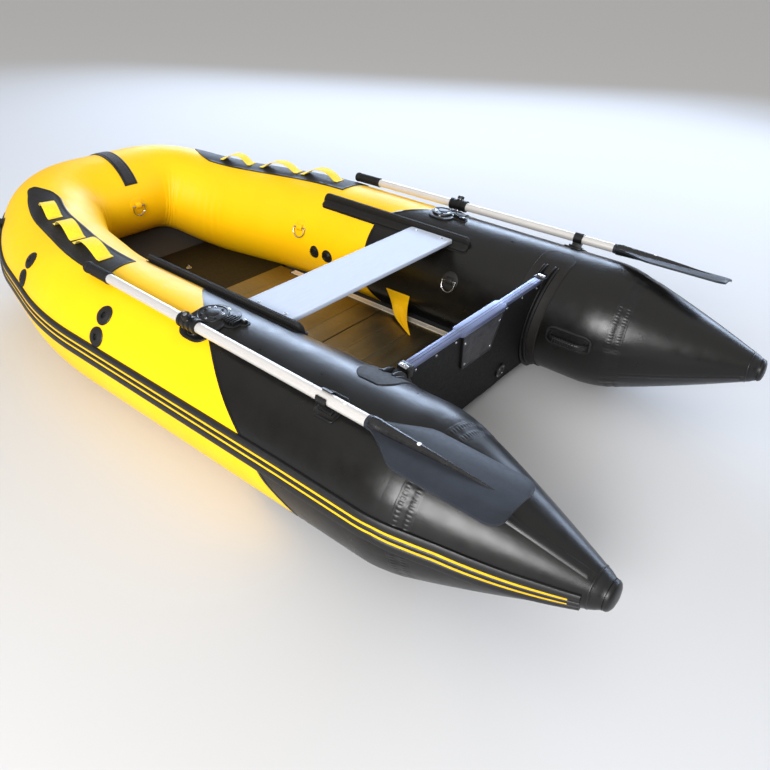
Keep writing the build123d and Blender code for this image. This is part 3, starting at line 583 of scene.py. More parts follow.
# -- sheets and patches on the wall
def edge_stations(length, steps, inner):
    """Places along a length, close at both ends, and each one's distance to the nearer end."""
    d = [x for x in steps if x < length * 0.45]
    t = np.array(d + list(np.linspace(d[-1], length - d[-1], inner)[1:-1])
        + [length - x for x in reversed(d)])
    return t / length, np.minimum(t, length - t)


def wall_sheet(shape, ends, sides, profile, counts, mats=(0, 1), nose=(0, 0), rim=6.5):
    """A sheet bonded to the wall, between ends in s, each a number or one for each side, and
    sides in degrees. profile gives the lift by distance to the edge; nose rounds each end off
    over a length; mats are for the sheet and its rim."""
    start, end = (np.broadcast_to(s, 2) for s in ends)
    steps, lifts = np.array(profile).T * mm
    length = abs((end - start).sum() / 2)
    width = abs(radians(sides[1] - sides[0])) * H.radius((start + end).sum() / 4)
    t, dt = (x[:, None] for x in edge_stations(length, steps, counts[0]))
    v, dv = edge_stations(width, steps, counts[1])
    inside = np.minimum(np.minimum(dt[1:], dt[:-1]), np.minimum(dv[1:], dv[:-1]))
    for run, reach in ((t, nose[0]), (1 - t, nose[1])):
        if reach:
            x = np.clip(1 - length * run / reach, 0, 1)
            v = 0.5 + (v - 0.5) * np.sqrt(1 - 0.94 * x ** 2)
    first = start[0] + (start[1] - start[0]) * v
    s = first + (end[0] + (end[1] - end[0]) * v - first) * t
    points = H.point(s, sides[0] + (sides[1] - sides[0]) * v,
        np.interp(np.minimum(dt, dv), steps, lifts))
    shape.grid(points, np.where(inside < rim * mm, mats[1], mats[0]).ravel(), wrap=False)


RIM = [(0, -0.3), (0.5, 2.4), (2, 3.3), (6, 3.3), (8, 2)]

# grab patches with a raised rim, and three webbing loops on each
patch = Shape()
wall_sheet(patch, [(H.at_x(0.262), H.at_x(0.292)), (H.at_x(1.125), H.at_x(1.055))], (70, 105),
    RIM, (70, 10), nose=(0, 0.045))
pair(patch, "grab_patch_sheet", [PATCH, BLACK_RIM], "grab_patch", slot=PLASTIC.name)
LOOP_HALF, LOOP_ANGLE = 0.08, 88
loops = Shape()
end = np.linspace(LOOP_HALF, 0.096, 4)[1:]
u = np.concatenate([-end[::-1], np.linspace(-LOOP_HALF, LOOP_HALF, 33), end])
bell = (1 - np.abs(np.clip(u / LOOP_HALF, -1, 1)) ** 2.3) ** 1.25
for x in (0.02, 0.226, 0.462):
    s0 = H.at_x(BEND + x)
    sweep(loops, H.point(s0 + u, LOOP_ANGLE, (3.6 + 31 * bell) * mm),
        rounded(50, 2.4, 1, 2), 0, H.frame(s0, LOOP_ANGLE)[:3, 2])
    for stitch in (-0.092, -0.085, 0.085, 0.092):
        wall_sheet(loops, (s0 + stitch - 0.8 * mm, s0 + stitch + 0.8 * mm), (82.2, 93.8),
            [(0, 3.5), (0.3, 5.5)], (4, 4), (1, 1))
pair(loops, "grab_loop_webbing", [YELLOW_WEB, YELLOW_TAPE], "grab_loops", 50)

# carry strap over the bow
strap = Shape()
wall_sheet(strap, (MIDDLE - 0.03, MIDDLE + 0.03), (62, 152), RIM, (10, 60))
wall_sheet(strap, (MIDDLE - 0.0195, MIDDLE + 0.0195), (65, 149.5),
    [(0, 1.5), (0.5, 3.6), (2.2, 4.4)], (10, 60), (2, 2))
strap.build("bow_carry_strap_webbing", [PATCH, BLACK_RIM, BLACK_WEB],
    "bow_carry_strap", slot="black_webbing")


def d_ring(s0, a0, radius=34, stand=5, hang=1):
    """A bonded round patch with a folded lug and a steel D hanging from it."""
    shape = Shape()
    wall_disc(shape, s0, a0, [(radius, -0.2), (radius - 0.4, 1.4), (radius - 1.6, 1.9),
        (radius * 0.62, 2.1), (radius * 0.5, 2.6), (0.3 * radius, 2.8)], 44)
    x, y, z, at = H.frame(s0, a0)[:3].T
    base = at + z * (3 + stand) * mm
    half, down = x * 0.0265, -y * hang
    arc = [base + down * 0.014 + half * cos(t) + down * 0.0265 * sin(t)
        for t in np.linspace(0, pi, 25)]
    sweep(shape, [base + half, *arc, base - half], circle(2.4, 10), 1, z)
    sweep(shape, [base + half * k for k in (-1, -0.4, 0.4, 1)], circle(2.6, 10), 1, z)
    for side in (-1, 1):
        turned(shape, base + half * side, x,
            [(-2.6, 0), (-2.4, 2.2), (0, 2.9), (2.4, 2.2), (2.6, 0)], 1, 12)
    lug = [at + y * 0.013 * t + z * (1.5 + (stand + 4.5) * (1 - t * t) ** 0.6) * mm
        for t in np.linspace(-1, 1, 13)]
    sweep(shape, lug, rounded(27, 2, 0.8, 2), 0, z)
    return shape


for name, x, sheet in (("fore", BEND - 0.025, YELLOW_TAPE),
        ("aft", TRANSOM_X + 0.34, PATCH)):
    ring = d_ring(H.at_x(x), 162)
    for word, s in (("port", ring), ("starboard", ring.mirrored())):
        node = "inner_d_rings" if (name, word) == ("aft", "starboard") else None
        s.build(f"{word}_{name}_inner_d_ring", [sheet, STEEL], node, slot=STEEL.name)
d_ring(MIDDLE, 180).build("bow_inner_d_ring", [YELLOW_TAPE, STEEL], slot=STEEL.name)
pair(d_ring(H.at_x(FRONT - 0.15), 26.5, 24, 8.5, -1), "tow_ring_assembly",
    [PATCH, PLASTIC], "tow_ring", slot=PLASTIC.name)

# rope pads: domed rings round a hole
pads = Shape()
for x in (0.205, -0.275):
    for angle in (26, 44):
        wall_disc(pads, H.at_x(BEND + x), angle, [
            (30.5, -0.2, 1), (30.2, 2, 1), (28.5, 3.4, 1), (24.5, 4), (20.5, 4.9),
            (18, 6.6), (13.5, 7.4), (10.5, 6.8, 1), (9.2, 5, 1), (8.8, 0.6, 1)], 48)
pair(pads, "rope_pad_mouldings", [PATCH, BLACK_RIM], "rope_pads", slot=PLASTIC.name)

# air valves: flange, ribbed cap and its turn slot
VALVE_ANGLE = 184
valves = Shape()
for x in (-0.123, -0.197):
    s0 = H.at_x(BEND + x)
    wall_disc(valves, s0, VALVE_ANGLE, [
        (27, -0.2), (26.5, 2), (25, 3), (20.5, 3.4), (19.5, 4.4), (19, 9.4), (17.8, 10.6),
        (11, 10.8), (10, 9.6), (2, 9.4)], 40)
    fx, fy, fz, at = H.frame(s0, VALVE_ANGLE, 7 * mm)[:3].T
    for a in around(16):
        out = fx * cos(a) + fy * sin(a)
        block(valves, (2.2, 2.6, 5.4), place(at + out * 0.0192, out, np.cross(fz, out), fz), 0.6)
    block(valves, (17, 3.4, 3.6), H.frame(s0, VALVE_ANGLE, 10.4 * mm), 0.9, 1)
pair(valves, "air_valve_mouldings", [PLASTIC, BLACK_RIM], "air_valves")

# stern carry handles: a moulded frame with a grip bar across it
HANDLE_ANGLE = 176
handle = Shape()
h0, h1 = H.at_x(SEAM - 0.006), H.at_x(SEAM + 0.15)
spread = degrees(0.034 / TUBE_R)
wall_sheet(handle, (h0, h1), (HANDLE_ANGLE - spread, HANDLE_ANGLE + spread),
    [(0, -0.3), (0.6, 2.5), (2.5, 7), (8, 7.6), (11, 5), (13, 2.2)], (26, 10),
    nose=(0.03, 0.03), rim=11.5)
u = np.linspace(-1, 1, 33)
mid = (h0 + h1) / 2
rise = 0.031 * (1 - np.abs(u) ** 5) ** 0.5 + 0.004
sweep(handle, H.point(mid + u * 0.063, HANDLE_ANGLE, rise), rounded(22, 13, 6, 3), 0,
    H.frame(mid, HANDLE_ANGLE)[:3, 2], 0.82 + 0.18 * np.cos(u * pi / 2))
for k in range(-4, 5):
    block(handle, (3.4, 23.5, 14.5), H.frame(mid + k * 0.009, HANDLE_ANGLE, 0.035), 2, 1)
pair(handle, "stern_handle_moulding", [PLASTIC, GRIP], "stern_handle")

# -- transom
TX = np.array([cos(RAKE), 0, sin(RAKE)])
TZ = np.array([-sin(RAKE), 0, cos(RAKE)])


def in_transom(x, y, z):
    """A point given from the board's top aft edge: forward, to port and up its face."""
    return np.array([TRANSOM_X, y, TRANSOM_Z]) + TX * x + TZ * z


def board_s(angle):
    """s of the board's middle where it meets the tube at an angle."""
    z = AXIS_Z + TUBE_R * np.sin(np.radians(angle))
    return S_SEAM + (TRANSOM_X + 0.012 + (TRANSOM_Z - z) * sin(RAKE) / cos(RAKE)) - SEAM


holder = Shape()
angles = np.linspace(96, 258, 70)[:, None]
near_top = np.clip((angles - 94) / 16, 0, 1)
half = 0.06 * np.sqrt(1 - (1 - near_top) ** 2) + 1 * mm
across = both_ways(np.array([0, 0.3, 0.6, 0.9, 0.95, 0.985, 1]))
lifts = np.array([3.6, 3.6, 3.4, 3.4, 3.8, 2.2, -0.3]) * mm
lifts = np.concatenate([lifts[:0:-1], lifts]) * near_top ** 0.3
holder.grid(H.point(board_s(angles) + half * across, angles, lifts), wrap=False)
low = np.linspace(118, 250, 50)[:, None]
wide, high = np.array([(-0.6, 0.001), (-0.5, 0.75), (-0.25, 0.97), (0.25, 0.97), (0.5, 0.75),
    (0.6, 0.001)]).T
for side in (-1, 1):
    for gap, thick, tall in ((0.0125, 0.006, 0.017), (0.024, 0.005, 0.007)):
        s = board_s(low) + side * (gap + thick / 2) + thick * wide
        loft(holder, H.point(s, low, 3 * mm + tall * np.sqrt(
            np.clip((low - 117) / 12, 0, 1)) * high), 1)
# under the boat's weight the band is squashed flat against the floor
points = np.concatenate(holder.verts)
z = points[:, 2]
points[:, 2] = np.where(z < 0.008, 0.0002 + (z + 0.0054) * 0.582, z)
holder.verts = [points]
pair(holder, "transom_holder_rubber", [PATCH, BLACK_RIM], "transom_holder",
    slot=BLACK.name)

# cap along the board's top edge, wider over the motor plates, with end blocks and clips
trim = Shape()
sections = []
for y in both_ways(np.array([0, 0.06, 0.112, 0.118, 0.124, 0.2, 0.3, 0.347, 0.35])):
    pinch = 1.6 if abs(y) > 0.349 else 0
    width = 27 + 16 * ease((0.124 - abs(y)) / 0.01)
    sections.append([in_transom(0.012 + p[0], y, -0.0025 + p[1])
        for p in rounded(width - pinch, 15 - pinch, 1.8, 2)])
loft(trim, sections)
for x in (0.012 - 0.0045, 0.012 + 0.0045):
    sweep(trim, [in_transom(x, y, 0.0049) for y in np.linspace(-0.346, 0.346, 9)],
        rounded(1.8, 0.5, 0.2, 1), 2, TZ)
for side in (-1, 1):
    block(trim, (39, 26, 34), place(in_transom(0.012, side * 0.361, -0.0105), TX, z=TZ), 3, 2)
    block(trim, (26, 16, 2.6), place(in_transom(0.012, side * 0.371, 0.0075), TX, z=TZ), 1, 3)
    bolt(trim, in_transom(0.012, side * 0.366, 0.0085), TZ, 3.2, 2.4, 3)
    for y in (0.33, 0.235, 0.14):
        for x, n in ((-0.0002, -TX), (0.0242, TX)):
            bolt(trim, in_transom(x, side * y, -0.019), n, 3, 2.4, 3)
trim.build("transom_cap_extrusion", [TRIM_PAINTED_SKY, EDGE_METAL, PLASTIC, STEEL], "transom_cap")

for name, x, n in (("outer_motor_plate", 0, -1), ("inner_motor_plate", 0.024, 1)):
    plate = Shape()
    rings = []
    for depth, inset in ((0, 0), (6.6, 0), (8, 1.4), (8, 6), (6.8, 7.4)):
        inset *= mm
        y0, y1, a, b = 0.114 - inset, 0.084 - inset, -0.0112 - inset, -0.142 + inset
        y2, c = (y0 + y1) / 2, (a + b) / 2
        rings.append([in_transom(x + n * depth * mm, y, z) for y, z in (
            (-y0, a), (0, a), (y0, a), (y2, c), (y1, b + 0.006), (y1 - 0.006, b), (0, b),
            (-y1 + 0.006, b), (-y1, b + 0.006), (-y2, c))])
    plate.grid(rings, 1)
    plate.add(rings[-1], [tuple(range(10))])
    for y, z in ((-0.095, -0.04), (0.095, -0.04), (-0.072, -0.124), (0.072, -0.124)):
        bolt(plate, in_transom(x + n * 6.6 * mm, y, z), TX * n, 3.4, 2.4, 2)
    plate.build(f"{name}_moulding", [PLATE, PLASTIC, STEEL], name, 30)

DRAIN_Y, DRAIN_Z = -0.21, 0.095 - TRANSOM_Z
drain = Shape()
for x, n in ((-0.006, -1), (0.03, 1)):
    turned(drain, in_transom(x, DRAIN_Y, DRAIN_Z), TX * n,
        [(-5.5, 25.2), (-1.6, 25.2), (-0.2, 23.8), (0.1, 18), (0.1, 14.2), (-1, 12.7)], 0, 36)
    for a in around(4) + pi / 4:
        bolt(drain, in_transom(x, DRAIN_Y + 0.0195 * cos(a), DRAIN_Z + 0.0195 * sin(a)),
            TX * n, 2.2, 1.4, 1)
drain.build("drain_flanges", [PLASTIC, STEEL])


# -- floor and bottom
def floor_panel(name, x0, x1, node):
    """Extruded planks side by side: joints between them and fine tread ribs."""
    count = round((x1 - x0) / 0.094)
    pitch, ribs, joint = (x1 - x0) / count, 14, FLOOR_TOP - 1.6 * mm
    line = [(x0, FLOOR_UNDER)]
    for a in x0 + np.arange(count) * pitch:
        line += [(a + 0.0005, joint), (a + 0.0022, FLOOR_TOP)]
        for c in a + 0.006 + np.arange(ribs) * (pitch - 0.012) / (ribs - 1):
            line += [(c + dx * mm, FLOOR_TOP + dz * mm)
                for dx, dz in ((-1.4, 0), (-0.7, 0.55), (0.7, 0.55), (1.4, 0))]
        line += [(a + pitch - 0.0022, FLOOR_TOP), (a + pitch - 0.0005, joint)]
    line.append((x1, FLOOR_UNDER))
    panel = Shape()
    loft(panel, [[(x, y, z) for x, z in line] for y in (-0.345, -0.15, 0.15, 0.345)])
    panel.build(name, [FLOOR_METAL], node, 20)


floor_panel("aft_floor_planks", -0.6259, -0.0625, "aft_floor_panel")
floor_panel("front_floor_planks", -0.0595, 0.5285, "front_floor_panel")
rail = Shape()
for side in (-1, 1):
    for y, r in ((0.3225, 2.3), (0.3465, 2.6)):
        sweep(rail, straight(-0.564, 0.441, 12, side * y, 0.0668), circle(r, 10))
    y = side * 0.3345
    for x in (-0.5665, 0.4435):
        block(rail, (6, 32, 21), place((x, y, 0.0595)), 2, 1)
    for x in np.linspace(-0.5, 0.38, 5):
        bolt(rail, (x, y, 0.0678), UP, 2.6, 1.8, 0)
rail.build("stringer_beads", [EDGE_METAL, PLASTIC])
EYE_X, EYE_Y = 0.802, -0.06
eye = Shape()
turned(eye, (EYE_X, EYE_Y, 0.0618), UP, [(0, 13), (1.2, 13), (2, 11), (2, 6), (1, 5)], 0, 24)
sweep(eye, [(EYE_X + 0.01 * cos(t), EYE_Y, 0.0635 + 0.01 * sin(t))
    for t in np.linspace(0.1, pi - 0.1, 13)], circle(1.8, 8), 0, (0, 1, 0))
eye.build("bow_board_eye", [STEEL])

bottom = Shape()
rows = []
for x in np.linspace(-0.662, 1.192, 64):
    _, y, z, r = H.pick(H.line, H.at_x(min(x, 1.17)))
    z0 = 0.0478 + max(0, (x - 0.9845)) * 0.5
    edge = max(y - r * sqrt(1 - min(abs(z - z0) / r, 0.999) ** 2) + 0.004, 0.02)
    if x > 1:
        edge = min(edge, 0.3 * sqrt(max(0, 1 - ((x - 1) / 0.195) ** 2)) + 0.01)
    rows.append([(x, y, z0 + 1.3 * mm * sin(x * 40) * sin(y * 30))
        for y in np.linspace(-edge, edge, 41)])
rows = np.array(rows)
loft(bottom, np.concatenate([rows, rows[:, ::-1] - (0, 0, 1.6 * mm)], axis=1))
for y in (-0.3, 0.3):
    sweep(bottom, straight(-0.64, 0.55, 20, y, 0.0455), rounded(30, 1.6, 0.6, 1), 1)
bottom_sheet = bottom.build("bottom_fabric_sheet", [BOTTOM, BLACK_TAPE], "bottom_skin", 60)

keel = Shape()
xs = np.concatenate([np.linspace(KEEL_AFT, -0.5455, 8), np.linspace(-0.53, 0.945, 50),
    np.linspace(0.9595, KEEL_FORE, 8)])
inside = np.clip(np.minimum(xs - KEEL_AFT, KEEL_FORE - xs) / 0.045, 0, 1)
radii = (0.0445 * np.sqrt(1 - (1 - inside) ** 2) + 0.0004) * (1 + 0.006 * np.sin(xs * 55))
a = np.radians(np.linspace(178, 362, 33))
loft(keel, [[(x, r * cos(t), 0.048 + min(r * sin(t), -0.0015)) for t in a]
    for x, r in zip(xs, radii)])
sweep(keel, straight(-0.52, 0.93, 20, 0, 0.0036), rounded(50, 2, 0.8, 1), 1)
keel.build("keel_tube_skin", [BOTTOM, BLACK_TAPE], "keel_tube", 60)

# a loose yellow flap that hangs from the starboard tube onto the floor
v = np.linspace(0, 1, 30)
edges = np.array([
    [(-0.073, -0.334, 0.161), (-0.086, -0.341, 0.126), (-0.101, -0.34, 0.096),
    (-0.13, -0.312, 0.08), (-0.166, -0.287, 0.0735), (-0.262, -0.236, 0.0685)],
    [(-0.188, -0.333, 0.164), (-0.18, -0.338, 0.135), (-0.183, -0.33, 0.108),
    (-0.207, -0.297, 0.09), (-0.236, -0.265, 0.081), (-0.274, -0.231, 0.07)]])
fore, back = (np.stack([np.interp(v, np.linspace(0, 1, 6), values) for values in edge.T], 1)
    for edge in edges)
for _ in range(3):
    for line in (fore, back):
        line[1:-1] = line[1:-1] * 0.5 + (line[:-2] + line[2:]) * 0.25
w = np.linspace(0, 1, 15)[:, None]
fold = 0.006 * np.sin(w * pi * 2 + 0.6) * np.sin(v * pi)[:, None, None]
top = fore[:, None] * (1 - w) + back[:, None] * w + np.array([0, 0.35, 0.94]) * fold
a, b, c, d = top[:-1, :-1], top[:-1, 1:], top[1:, 1:], top[1:, :-1]
flap = Shape()
loft(flap, np.concatenate([top, top[:, ::-1] + np.array([0, 0.3, -1]) * mm], axis=1))
flap_sheet = flap.build("loose_fabric_flap", [YELLOW_TAPE], crease=60, slot=YELLOW.name)

# -- bench
rails = Shape()


def on_side(angle, lift):
    """y and z of a point beside the straight tube."""
    a, r = radians(angle), TUBE_R + lift * mm
    return AXIS_Y + r * cos(a), AXIS_Z + r * sin(a)


foot = [(134.4, -0.3), (134.2, 1.7), (133, 2), (132.7, 8.9), (132, 9.5), (130, 9.5),
    (129.2, 8.4)]
bead = [(0.4132, 0.3985), (0.412, 0.406), (0.4135, 0.416), (0.4195, 0.4222), (0.4275, 0.4222),
    (0.433, 0.416), (0.4325, 0.407)]
outer = [(121.8, 2.2), (118.8, 1.9), (118.5, -0.3)]
base = np.array([on_side(*p) for p in foot] + bead + [on_side(*p) for p in outer])
BEAD, foot_mid = slice(7, 14), np.array(on_side(128, 0))
inward = unit(base.mean(0) - base[BEAD])
sections = []
for x in np.linspace(RAIL_AFT, RAIL_FORE, 523):
    end = min(x - RAIL_AFT, RAIL_FORE - x, 0.016) / 0.016
    section = base.copy()
    if sin((x - RAIL_AFT) * 2 * pi / 0.008) > 0:
        section[BEAD] += inward * 0.9 * mm
    section = foot_mid + (section - foot_mid) * (0.35 + 0.65 * sqrt(1 - (1 - end) ** 2))
    sections.append([(x, *p) for p in section])
loft(rails, sections)
pair(rails, "bench_rail_rope", [GRIP], "bench_rail", 30, slot=PLASTIC.name)

plank = Shape()
loft(plank, [[(PLANK_X + p[0], p[1], z * mm) for p in rounded(
    186 - 2 * inset, 816 - 2 * inset, 9 - min(inset, 9) * 0.6, 5)] for z, inset in (
    (390.5, 3), (390.5, 1.6), (391.2, 0.5), (392.5, 0), (401.5, 0), (403.2, 0.5),
    (404.2, 1.6), (404.5, 3.2), (404.5, 9), (404, 10), (404, 13))])
for side in (-1, 1):
    for dx in (-0.055, 0.055):
        bolt(plank, (PLANK_X + dx, side * 0.388, 0.404), UP, 3.6, 2.2, 1)
    for dx in (-0.062, 0.062):
        bolt(plank, (PLANK_X + dx, side * 0.4085, 0.3975), UP[[0, 2, 1]] * side, 3, 2, 1)
plank.build("bench_plank_aluminium", [BENCH_METAL, STEEL], "bench_plank", 30, "bench")

# -- oars
OU = np.array([-cos(SPLAY), sin(SPLAY), 0])
OV = np.array([sin(SPLAY), cos(SPLAY), 0])
PIN = OV * sin(PIN_LEAN) + UP * cos(PIN_LEAN)
PIN_SIDE = np.cross(PIN, OU)


def oar(u, v=0, w=0):
    """A point of the port oar: aft along it from the pin, outboard, and up."""
    return PIVOT + OU * u + OV * v + UP * w


grip = Shape()
profile = [(0, 6), (1.2, 12.5), (4, 16.5), (9, 18.5), (16, 18.5), (19, 16.2), (22, 16)]
for a in 25 + np.arange(11) * 8.2:
    profile += [(a, 16), (a + 1.2, 17.6), (a + 5.2, 17.6), (a + 6.4, 16)]
profile += [(117, 16.2), (119, 18.4), (124, 18.4), (125.8, 17.2), (126.2, 15.3)]
turned(grip, oar(-0.51), OU, profile, 0, 40)
pair(grip, "oar_grip_rubber", [GRIP], "oar_grip", 35, "oar")

details = Shape()
turned(details, oar(0.56, 0, 0.0145), UP, [(0, 4.2), (1.6, 4.2), (2.6, 3), (2.9, 0)], 0, 14)
turned(details, oar(0.628), OU, [(0, 15.2), (1, 16.4), (11, 16.4), (12, 15.2)], 1, 36)
turned(details, oar(-0.389), OU, [(0, 15.2), (0.8, 16.1), (5, 16.1), (5.8, 15.2)], 1, 36)
pair(details, "oar_shaft_fittings", [BUTTON, OAR_PLASTIC], body="oar",
    slot=OAR_PLASTIC.name)

blade = Shape()
outline = [(0, 20.5), (12, 21.5), (30, 30), (60, 48), (90, 68), (106, 77.5), (122, 81.5),
    (145, 82), (200, 82), (260, 82), (310, 82), (338, 82), (350, 79.5), (360, 73),
    (367, 63), (370, 52)]
across = both_ways(np.array([0, 0.2, 0.4, 0.6, 0.8, 0.95, 0.99, 1]))
rib = 0.9 * mm * (np.abs(np.abs(across) - 0.6) < 0.02)
thick = 0.0025 * (np.abs(across) < 0.992) + 0.0006
sections = []
for u, half in outline:
    u, half = u * mm, half * mm
    hang = -0.006 * across ** 2 * ease((u - 0.02) / 0.12)
    top, under = ([oar(BLADE_U + u, half * q, w) for q, w in zip(across, heights)]
        for heights in (hang + thick + rib, hang - thick))
    sections.append(top + under[::-1])
loft(blade, sections)
sections = []
for u, r in ((-2, 16.5), (0, 18.8), (20, 18.8), (22, 18), (60, 17.2), (110, 15), (170, 12),
        (230, 8.6), (280, 5.6), (315, 2.8), (325, 0.8)):
    u, r = u * mm, r * mm
    k = ease((u - 0.03) / 0.2)
    sections.append([oar(BLADE_U + u, r * (1 - 0.25 * k) * abs(cos(t)) ** (1 + 0.6 * k)
        * (1 if cos(t) > 0 else -1), r * (1 + 0.1 * k) * sin(t))
        for t in around(28)])
loft(blade, sections, 2)
turned(blade, oar(BLADE_U + 0.128, 0, 0.0135), UP, [(0, 5), (1.8, 5), (2.8, 3.6), (3.1, 0)], 1, 14)
# the oars turn freely in their collars: the starboard blade lies rolled outward about its shaft
flat = np.concatenate(blade.verts) - PIVOT
u, v, w = ((flat @ d)[:, None] for d in (OU, OV, UP))
rolled = Shape().add(oar(u, v * cos(BLADE_ROLL) + w * sin(BLADE_ROLL),
    w * cos(BLADE_ROLL) - v * sin(BLADE_ROLL)), blade.faces, blade.mats)
pair(blade, "oar_blade_moulding", [OAR_PLASTIC, BUTTON, SPINE], "oar_blade",
    40, "oar", starboard=rolled)

collar = Shape()
profile = [(-36, 15.2), (-35.8, 19.6), (-34.5, 21.8)]
for u in (-30, -10, 10, 30):
    profile += [(u - 3.5, 21.8), (u + 3.5, 21.8), (u + 4.8, 19.6), (u + 9.2, 19.6)]
turned(collar, PIVOT, OU, profile[:-2] + [(34.5, 21.8), (35.8, 19.6), (36, 15.2)], 0, 40)
turned(collar, PIVOT + PIN * 0.012, PIN, [(0, 12.5), (8.5, 12.5), (9.6, 11.5), (9.9, 5.2)], 0, 28)
pair(collar, "oar_collar_moulding", [PLASTIC], "oar_collar", 35, "oar")

knob = Shape()
head = PIVOT + PIN * 0.0224
loft(knob, [[head + (PIN * h + (r - 1.1 * lobe * (1 - cos(8 * t)) / 2)
    * (cos(t) * OU + sin(t) * PIN_SIDE)) * mm for t in around(40)]
    for h, r, lobe in ((0.2, 11.8, 0.3), (1.2, 13, 0.7), (9, 13, 0.9), (11.2, 11.8, 0.7),
    (11.9, 9.8, 0.2), (12, 5, 0))])
turned(knob, head + PIN * 0.0118, PIN, [(0, 6.2), (0.8, 6), (1.1, 4.5), (1.1, 0)], 1, 18)
pair(knob, "oarlock_knob_moulding", [PLASTIC, STEEL], "oarlock_knob", 35)

# oarlock: a bonded plate with bolts, a post for the pin, and a round boss on either side
lock = Shape()
sp = H.at_x(PIVOT[0])
LOCK_ANGLE, LOCK_HALF = 81, 23
t = around(56)
c, q = np.cos(t), np.sin(t)
k = (np.abs(c) ** 3.2 + np.abs(q) ** 3.2) ** (-1 / 3.2)
loft(lock, [H.point(sp + 0.062 * reach * c * k, LOCK_ANGLE + LOCK_HALF * reach * q * k, lift * mm)
    for reach, lift in ((1, -0.3), (0.995, 2.4), (0.97, 3.8), (0.9, 4.2), (0.86, 3.2),
    (0.6, 3.2), (0.56, 4.2), (0.5, 6), (0.4, 7), (0.2, 7.4))])


def wall_bolt(shape, s, angle, lift, radius, height, mat=1):
    """A bolt that stands off the wall."""
    frame = H.frame(s, angle, lift)
    bolt(shape, frame[:3, 3], frame[:3, 2], radius, height, mat)


for a in around(6) + pi / 6:
    wall_bolt(lock, sp + 0.047 * cos(a), LOCK_ANGLE + LOCK_HALF * 0.76 * sin(a), 3 * mm, 4.6, 4)
foot = PIVOT - PIN * 0.0224
turned(lock, foot, -PIN, [(0, 5), (0.2, 19), (2, 20.8), (8, 20.8), (10, 19), (30, 20), (44, 24),
    (52, 30)], 0, 36)
for a in around(10):
    out = OU * cos(a) + PIN_SIDE * sin(a)
    block(lock, (4, 10, 30), place(foot - PIN * 0.024 + out * 0.0205, np.cross(PIN, out), out,
        PIN), 1.2)
wall_disc(lock, sp + 0.01, 86, [(47, 3), (46.5, 6.5), (45, 8.2), (41, 8.6), (38.5, 6.4),
    (22, 6.2), (20.5, 8), (15, 9.5)], 44)
for k in range(7):
    a = radians(51.4 * k)
    wall_bolt(lock, sp + 0.01 + 0.0305 * cos(a), 86 + degrees(0.0305 * sin(a) / TUBE_R), 6 * mm,
        3.4, 3.2, k % 2)
for k in range(-2, 3):
    block(lock, (4.2, 40 - 3 * abs(k), 12), H.frame(sp - 0.064 + k * 0.0088, 88, 0.006), 1.4)
wall_disc(lock, sp - 0.064, 88, [(30, -0.3), (29.5, 2.2), (27, 3), (12, 3.4)], 36)
turned(lock, PIVOT - PIN * 0.023, PIN, [(0, 4.9), (46.2, 4.9)], 1, 16)
pair(lock, "oarlock_base_moulding", [PLASTIC, STEEL], "oarlock_base", 35)

# small lug with a screw beside the oarlock
stay = Shape()
s0 = H.at_x(-0.262)
wall_sheet(stay, (s0 - 0.02, s0 + 0.02), (88.5, 96.5),
    [(0, -0.3), (0.4, 1.4), (1.5, 1.9), (5, 2)], (8, 6), (0, 0), (0.012, 0.012))
x, _, z, at = H.frame(s0, 92.5)[:3].T
block(stay, (26, 12, 10), H.frame(s0, 92.5, 0.006), 3, 1)
bolt(stay, at + z * 0.011 - x * 0.006, z, 3.4, 2.6, 2)
pair(stay, "oar_stay_lug", [PATCH, PLASTIC, STEEL], slot=PLASTIC.name)

# oar clips: a bonded foot with rounded arms open at the top
CLIP_HALF = 0.038
clip = Shape()
at = oar(CLIP_U)
radial = at - np.array([at[0], AXIS_Y, AXIS_Z])
reach = np.linalg.norm(radial)
radial /= reach
angle, spread = degrees(atan2(radial[2], radial[1])), degrees(CLIP_HALF / TUBE_R)
sc = H.at_x(at[0])
wall_sheet(clip, (sc - CLIP_HALF, sc + CLIP_HALF), (angle - spread, angle + spread), RIM,
    (10, 10), (2, 0), (0.012, 0.012))
tangent = unit(np.cross(OU, radial))
ring = [(r * cos(t), r * sin(t)) for r, start, end in ((0.0158, -232, 52), (0.0202, 60, -240))
    for t in np.linspace(radians(start), radians(end), 41)]
loft(clip, [[at + OU * u + tangent * p[0] + radial * p[1] for p in ring]
    for u in (-0.0158, -0.0142, 0.0142, 0.0158)])
drop = reach - TUBE_R - 0.019
for size, down in (((30, 26, drop / mm + 4), 0.019 + drop / 2), ((44, 44, 6), drop + 0.014)):
    block(clip, size, place(at - radial * down, OU, tangent, radial), 2)
for du in (-0.026, 0.026):
    wall_bolt(clip, sc + du, angle, 2 * mm, 3.6, 3)
pair(clip, "oar_clip_moulding", [PLASTIC, STEEL, PATCH], "oar_clip", 35)

# CAD pieces that stay take a finish
KEPT = {"transom_board": TRANSOM, "bow_floor_board": BOARD, "drain_socket": PLASTIC}
for word in ("port", "starboard"):
    KEPT.update({word + "_floor_stringer": EDGE_METAL, word + "_bench_shoe": PLASTIC,
        word + "_oar_shaft": OAR_METAL})
for node, finish in KEPT.items():
    mats = frame["nodes"][node].data.materials
    if not mats:
        mats.append(finish)
    for i in range(len(mats)):
        mats[i] = finish

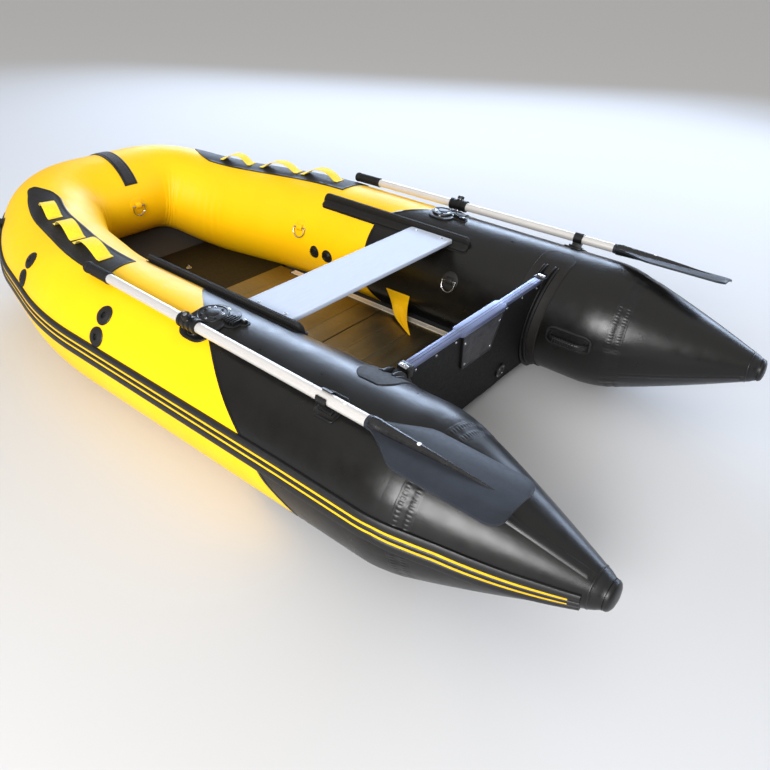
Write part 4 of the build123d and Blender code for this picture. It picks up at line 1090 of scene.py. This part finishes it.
# -- camera, light and floor
camera = put("camera", bpy.data.cameras.new("camera"))
az, el, roll = radians(-142.62), radians(34.04), radians(2.58)
view = np.array([-sin(az) * cos(el), cos(az) * cos(el), -sin(el)])
right = unit(np.cross(view, UP))
above = np.cross(right, view)
axes = [right * cos(roll) + above * sin(roll), above * cos(roll) - right * sin(roll), -view]
pose = Matrix(np.transpose(axes).tolist()).to_4x4()
pose.translation = (-1.5535, 1.584, 1.3425)
camera.matrix_world = pose
camera.data.sensor_width = 36
camera.data.lens = 687.5 / 770 * 36
camera.data.clip_end = 200
bpy.context.scene.camera = camera

floor = bpy.data.meshes.new("floor")
floor.from_pydata([(-60, -60, 0), (60, -60, 0), (60, 60, 0), (-60, 60, 0)], [], [(0, 1, 2, 3)])
floor_obj = put("floor", floor)
floor.materials.append(Look("pale_floor").close({"Base Color": (0.61, 0.61, 0.615, 1),
    "Roughness": 0.9}))

world = bpy.data.worlds.new("studio")
world.use_nodes = True
background = world.node_tree.nodes["Background"].inputs
background["Color"].default_value = (1, 0.975, 0.94, 1)
background["Strength"].default_value = 0.4
bpy.context.scene.world = world

WHITE, SKY = (1, 1, 1), (0.6, 0.75, 1)
for name, at, target, size, watts, color in (
        ("key", (-2, 5, 2.6), (0, 0.2, 0.2), (2.8, 2), 165, WHITE),
        ("side", (3.2, -5, 2.3), (-0.4, 0, 0.4), (6.5, 1.7), 200, SKY),
        ("aft", (-2.9, -5.2, 1.7), (-1, 0.2, 0.35), (4.6, 1.5), 85, SKY)):
    light = bpy.data.lights.new(name, "AREA")
    light.shape = "RECTANGLE"
    light.size, light.size_y = size
    light.energy = watts
    light.color = color
    light.spread = radians(120)
    lamp = put(name, light)
    lamp.location = at
    lamp.rotation_euler = (Vector(target) - Vector(at)).to_track_quat("-Z", "Y").to_euler()

dome = bpy.data.lights.new("dome", "SUN")
dome.energy = 0.8
dome.angle = radians(100)
put("dome", dome).rotation_euler = (radians(-14), radians(-8), 0)

bpy.context.scene.view_settings.view_transform = "Standard"
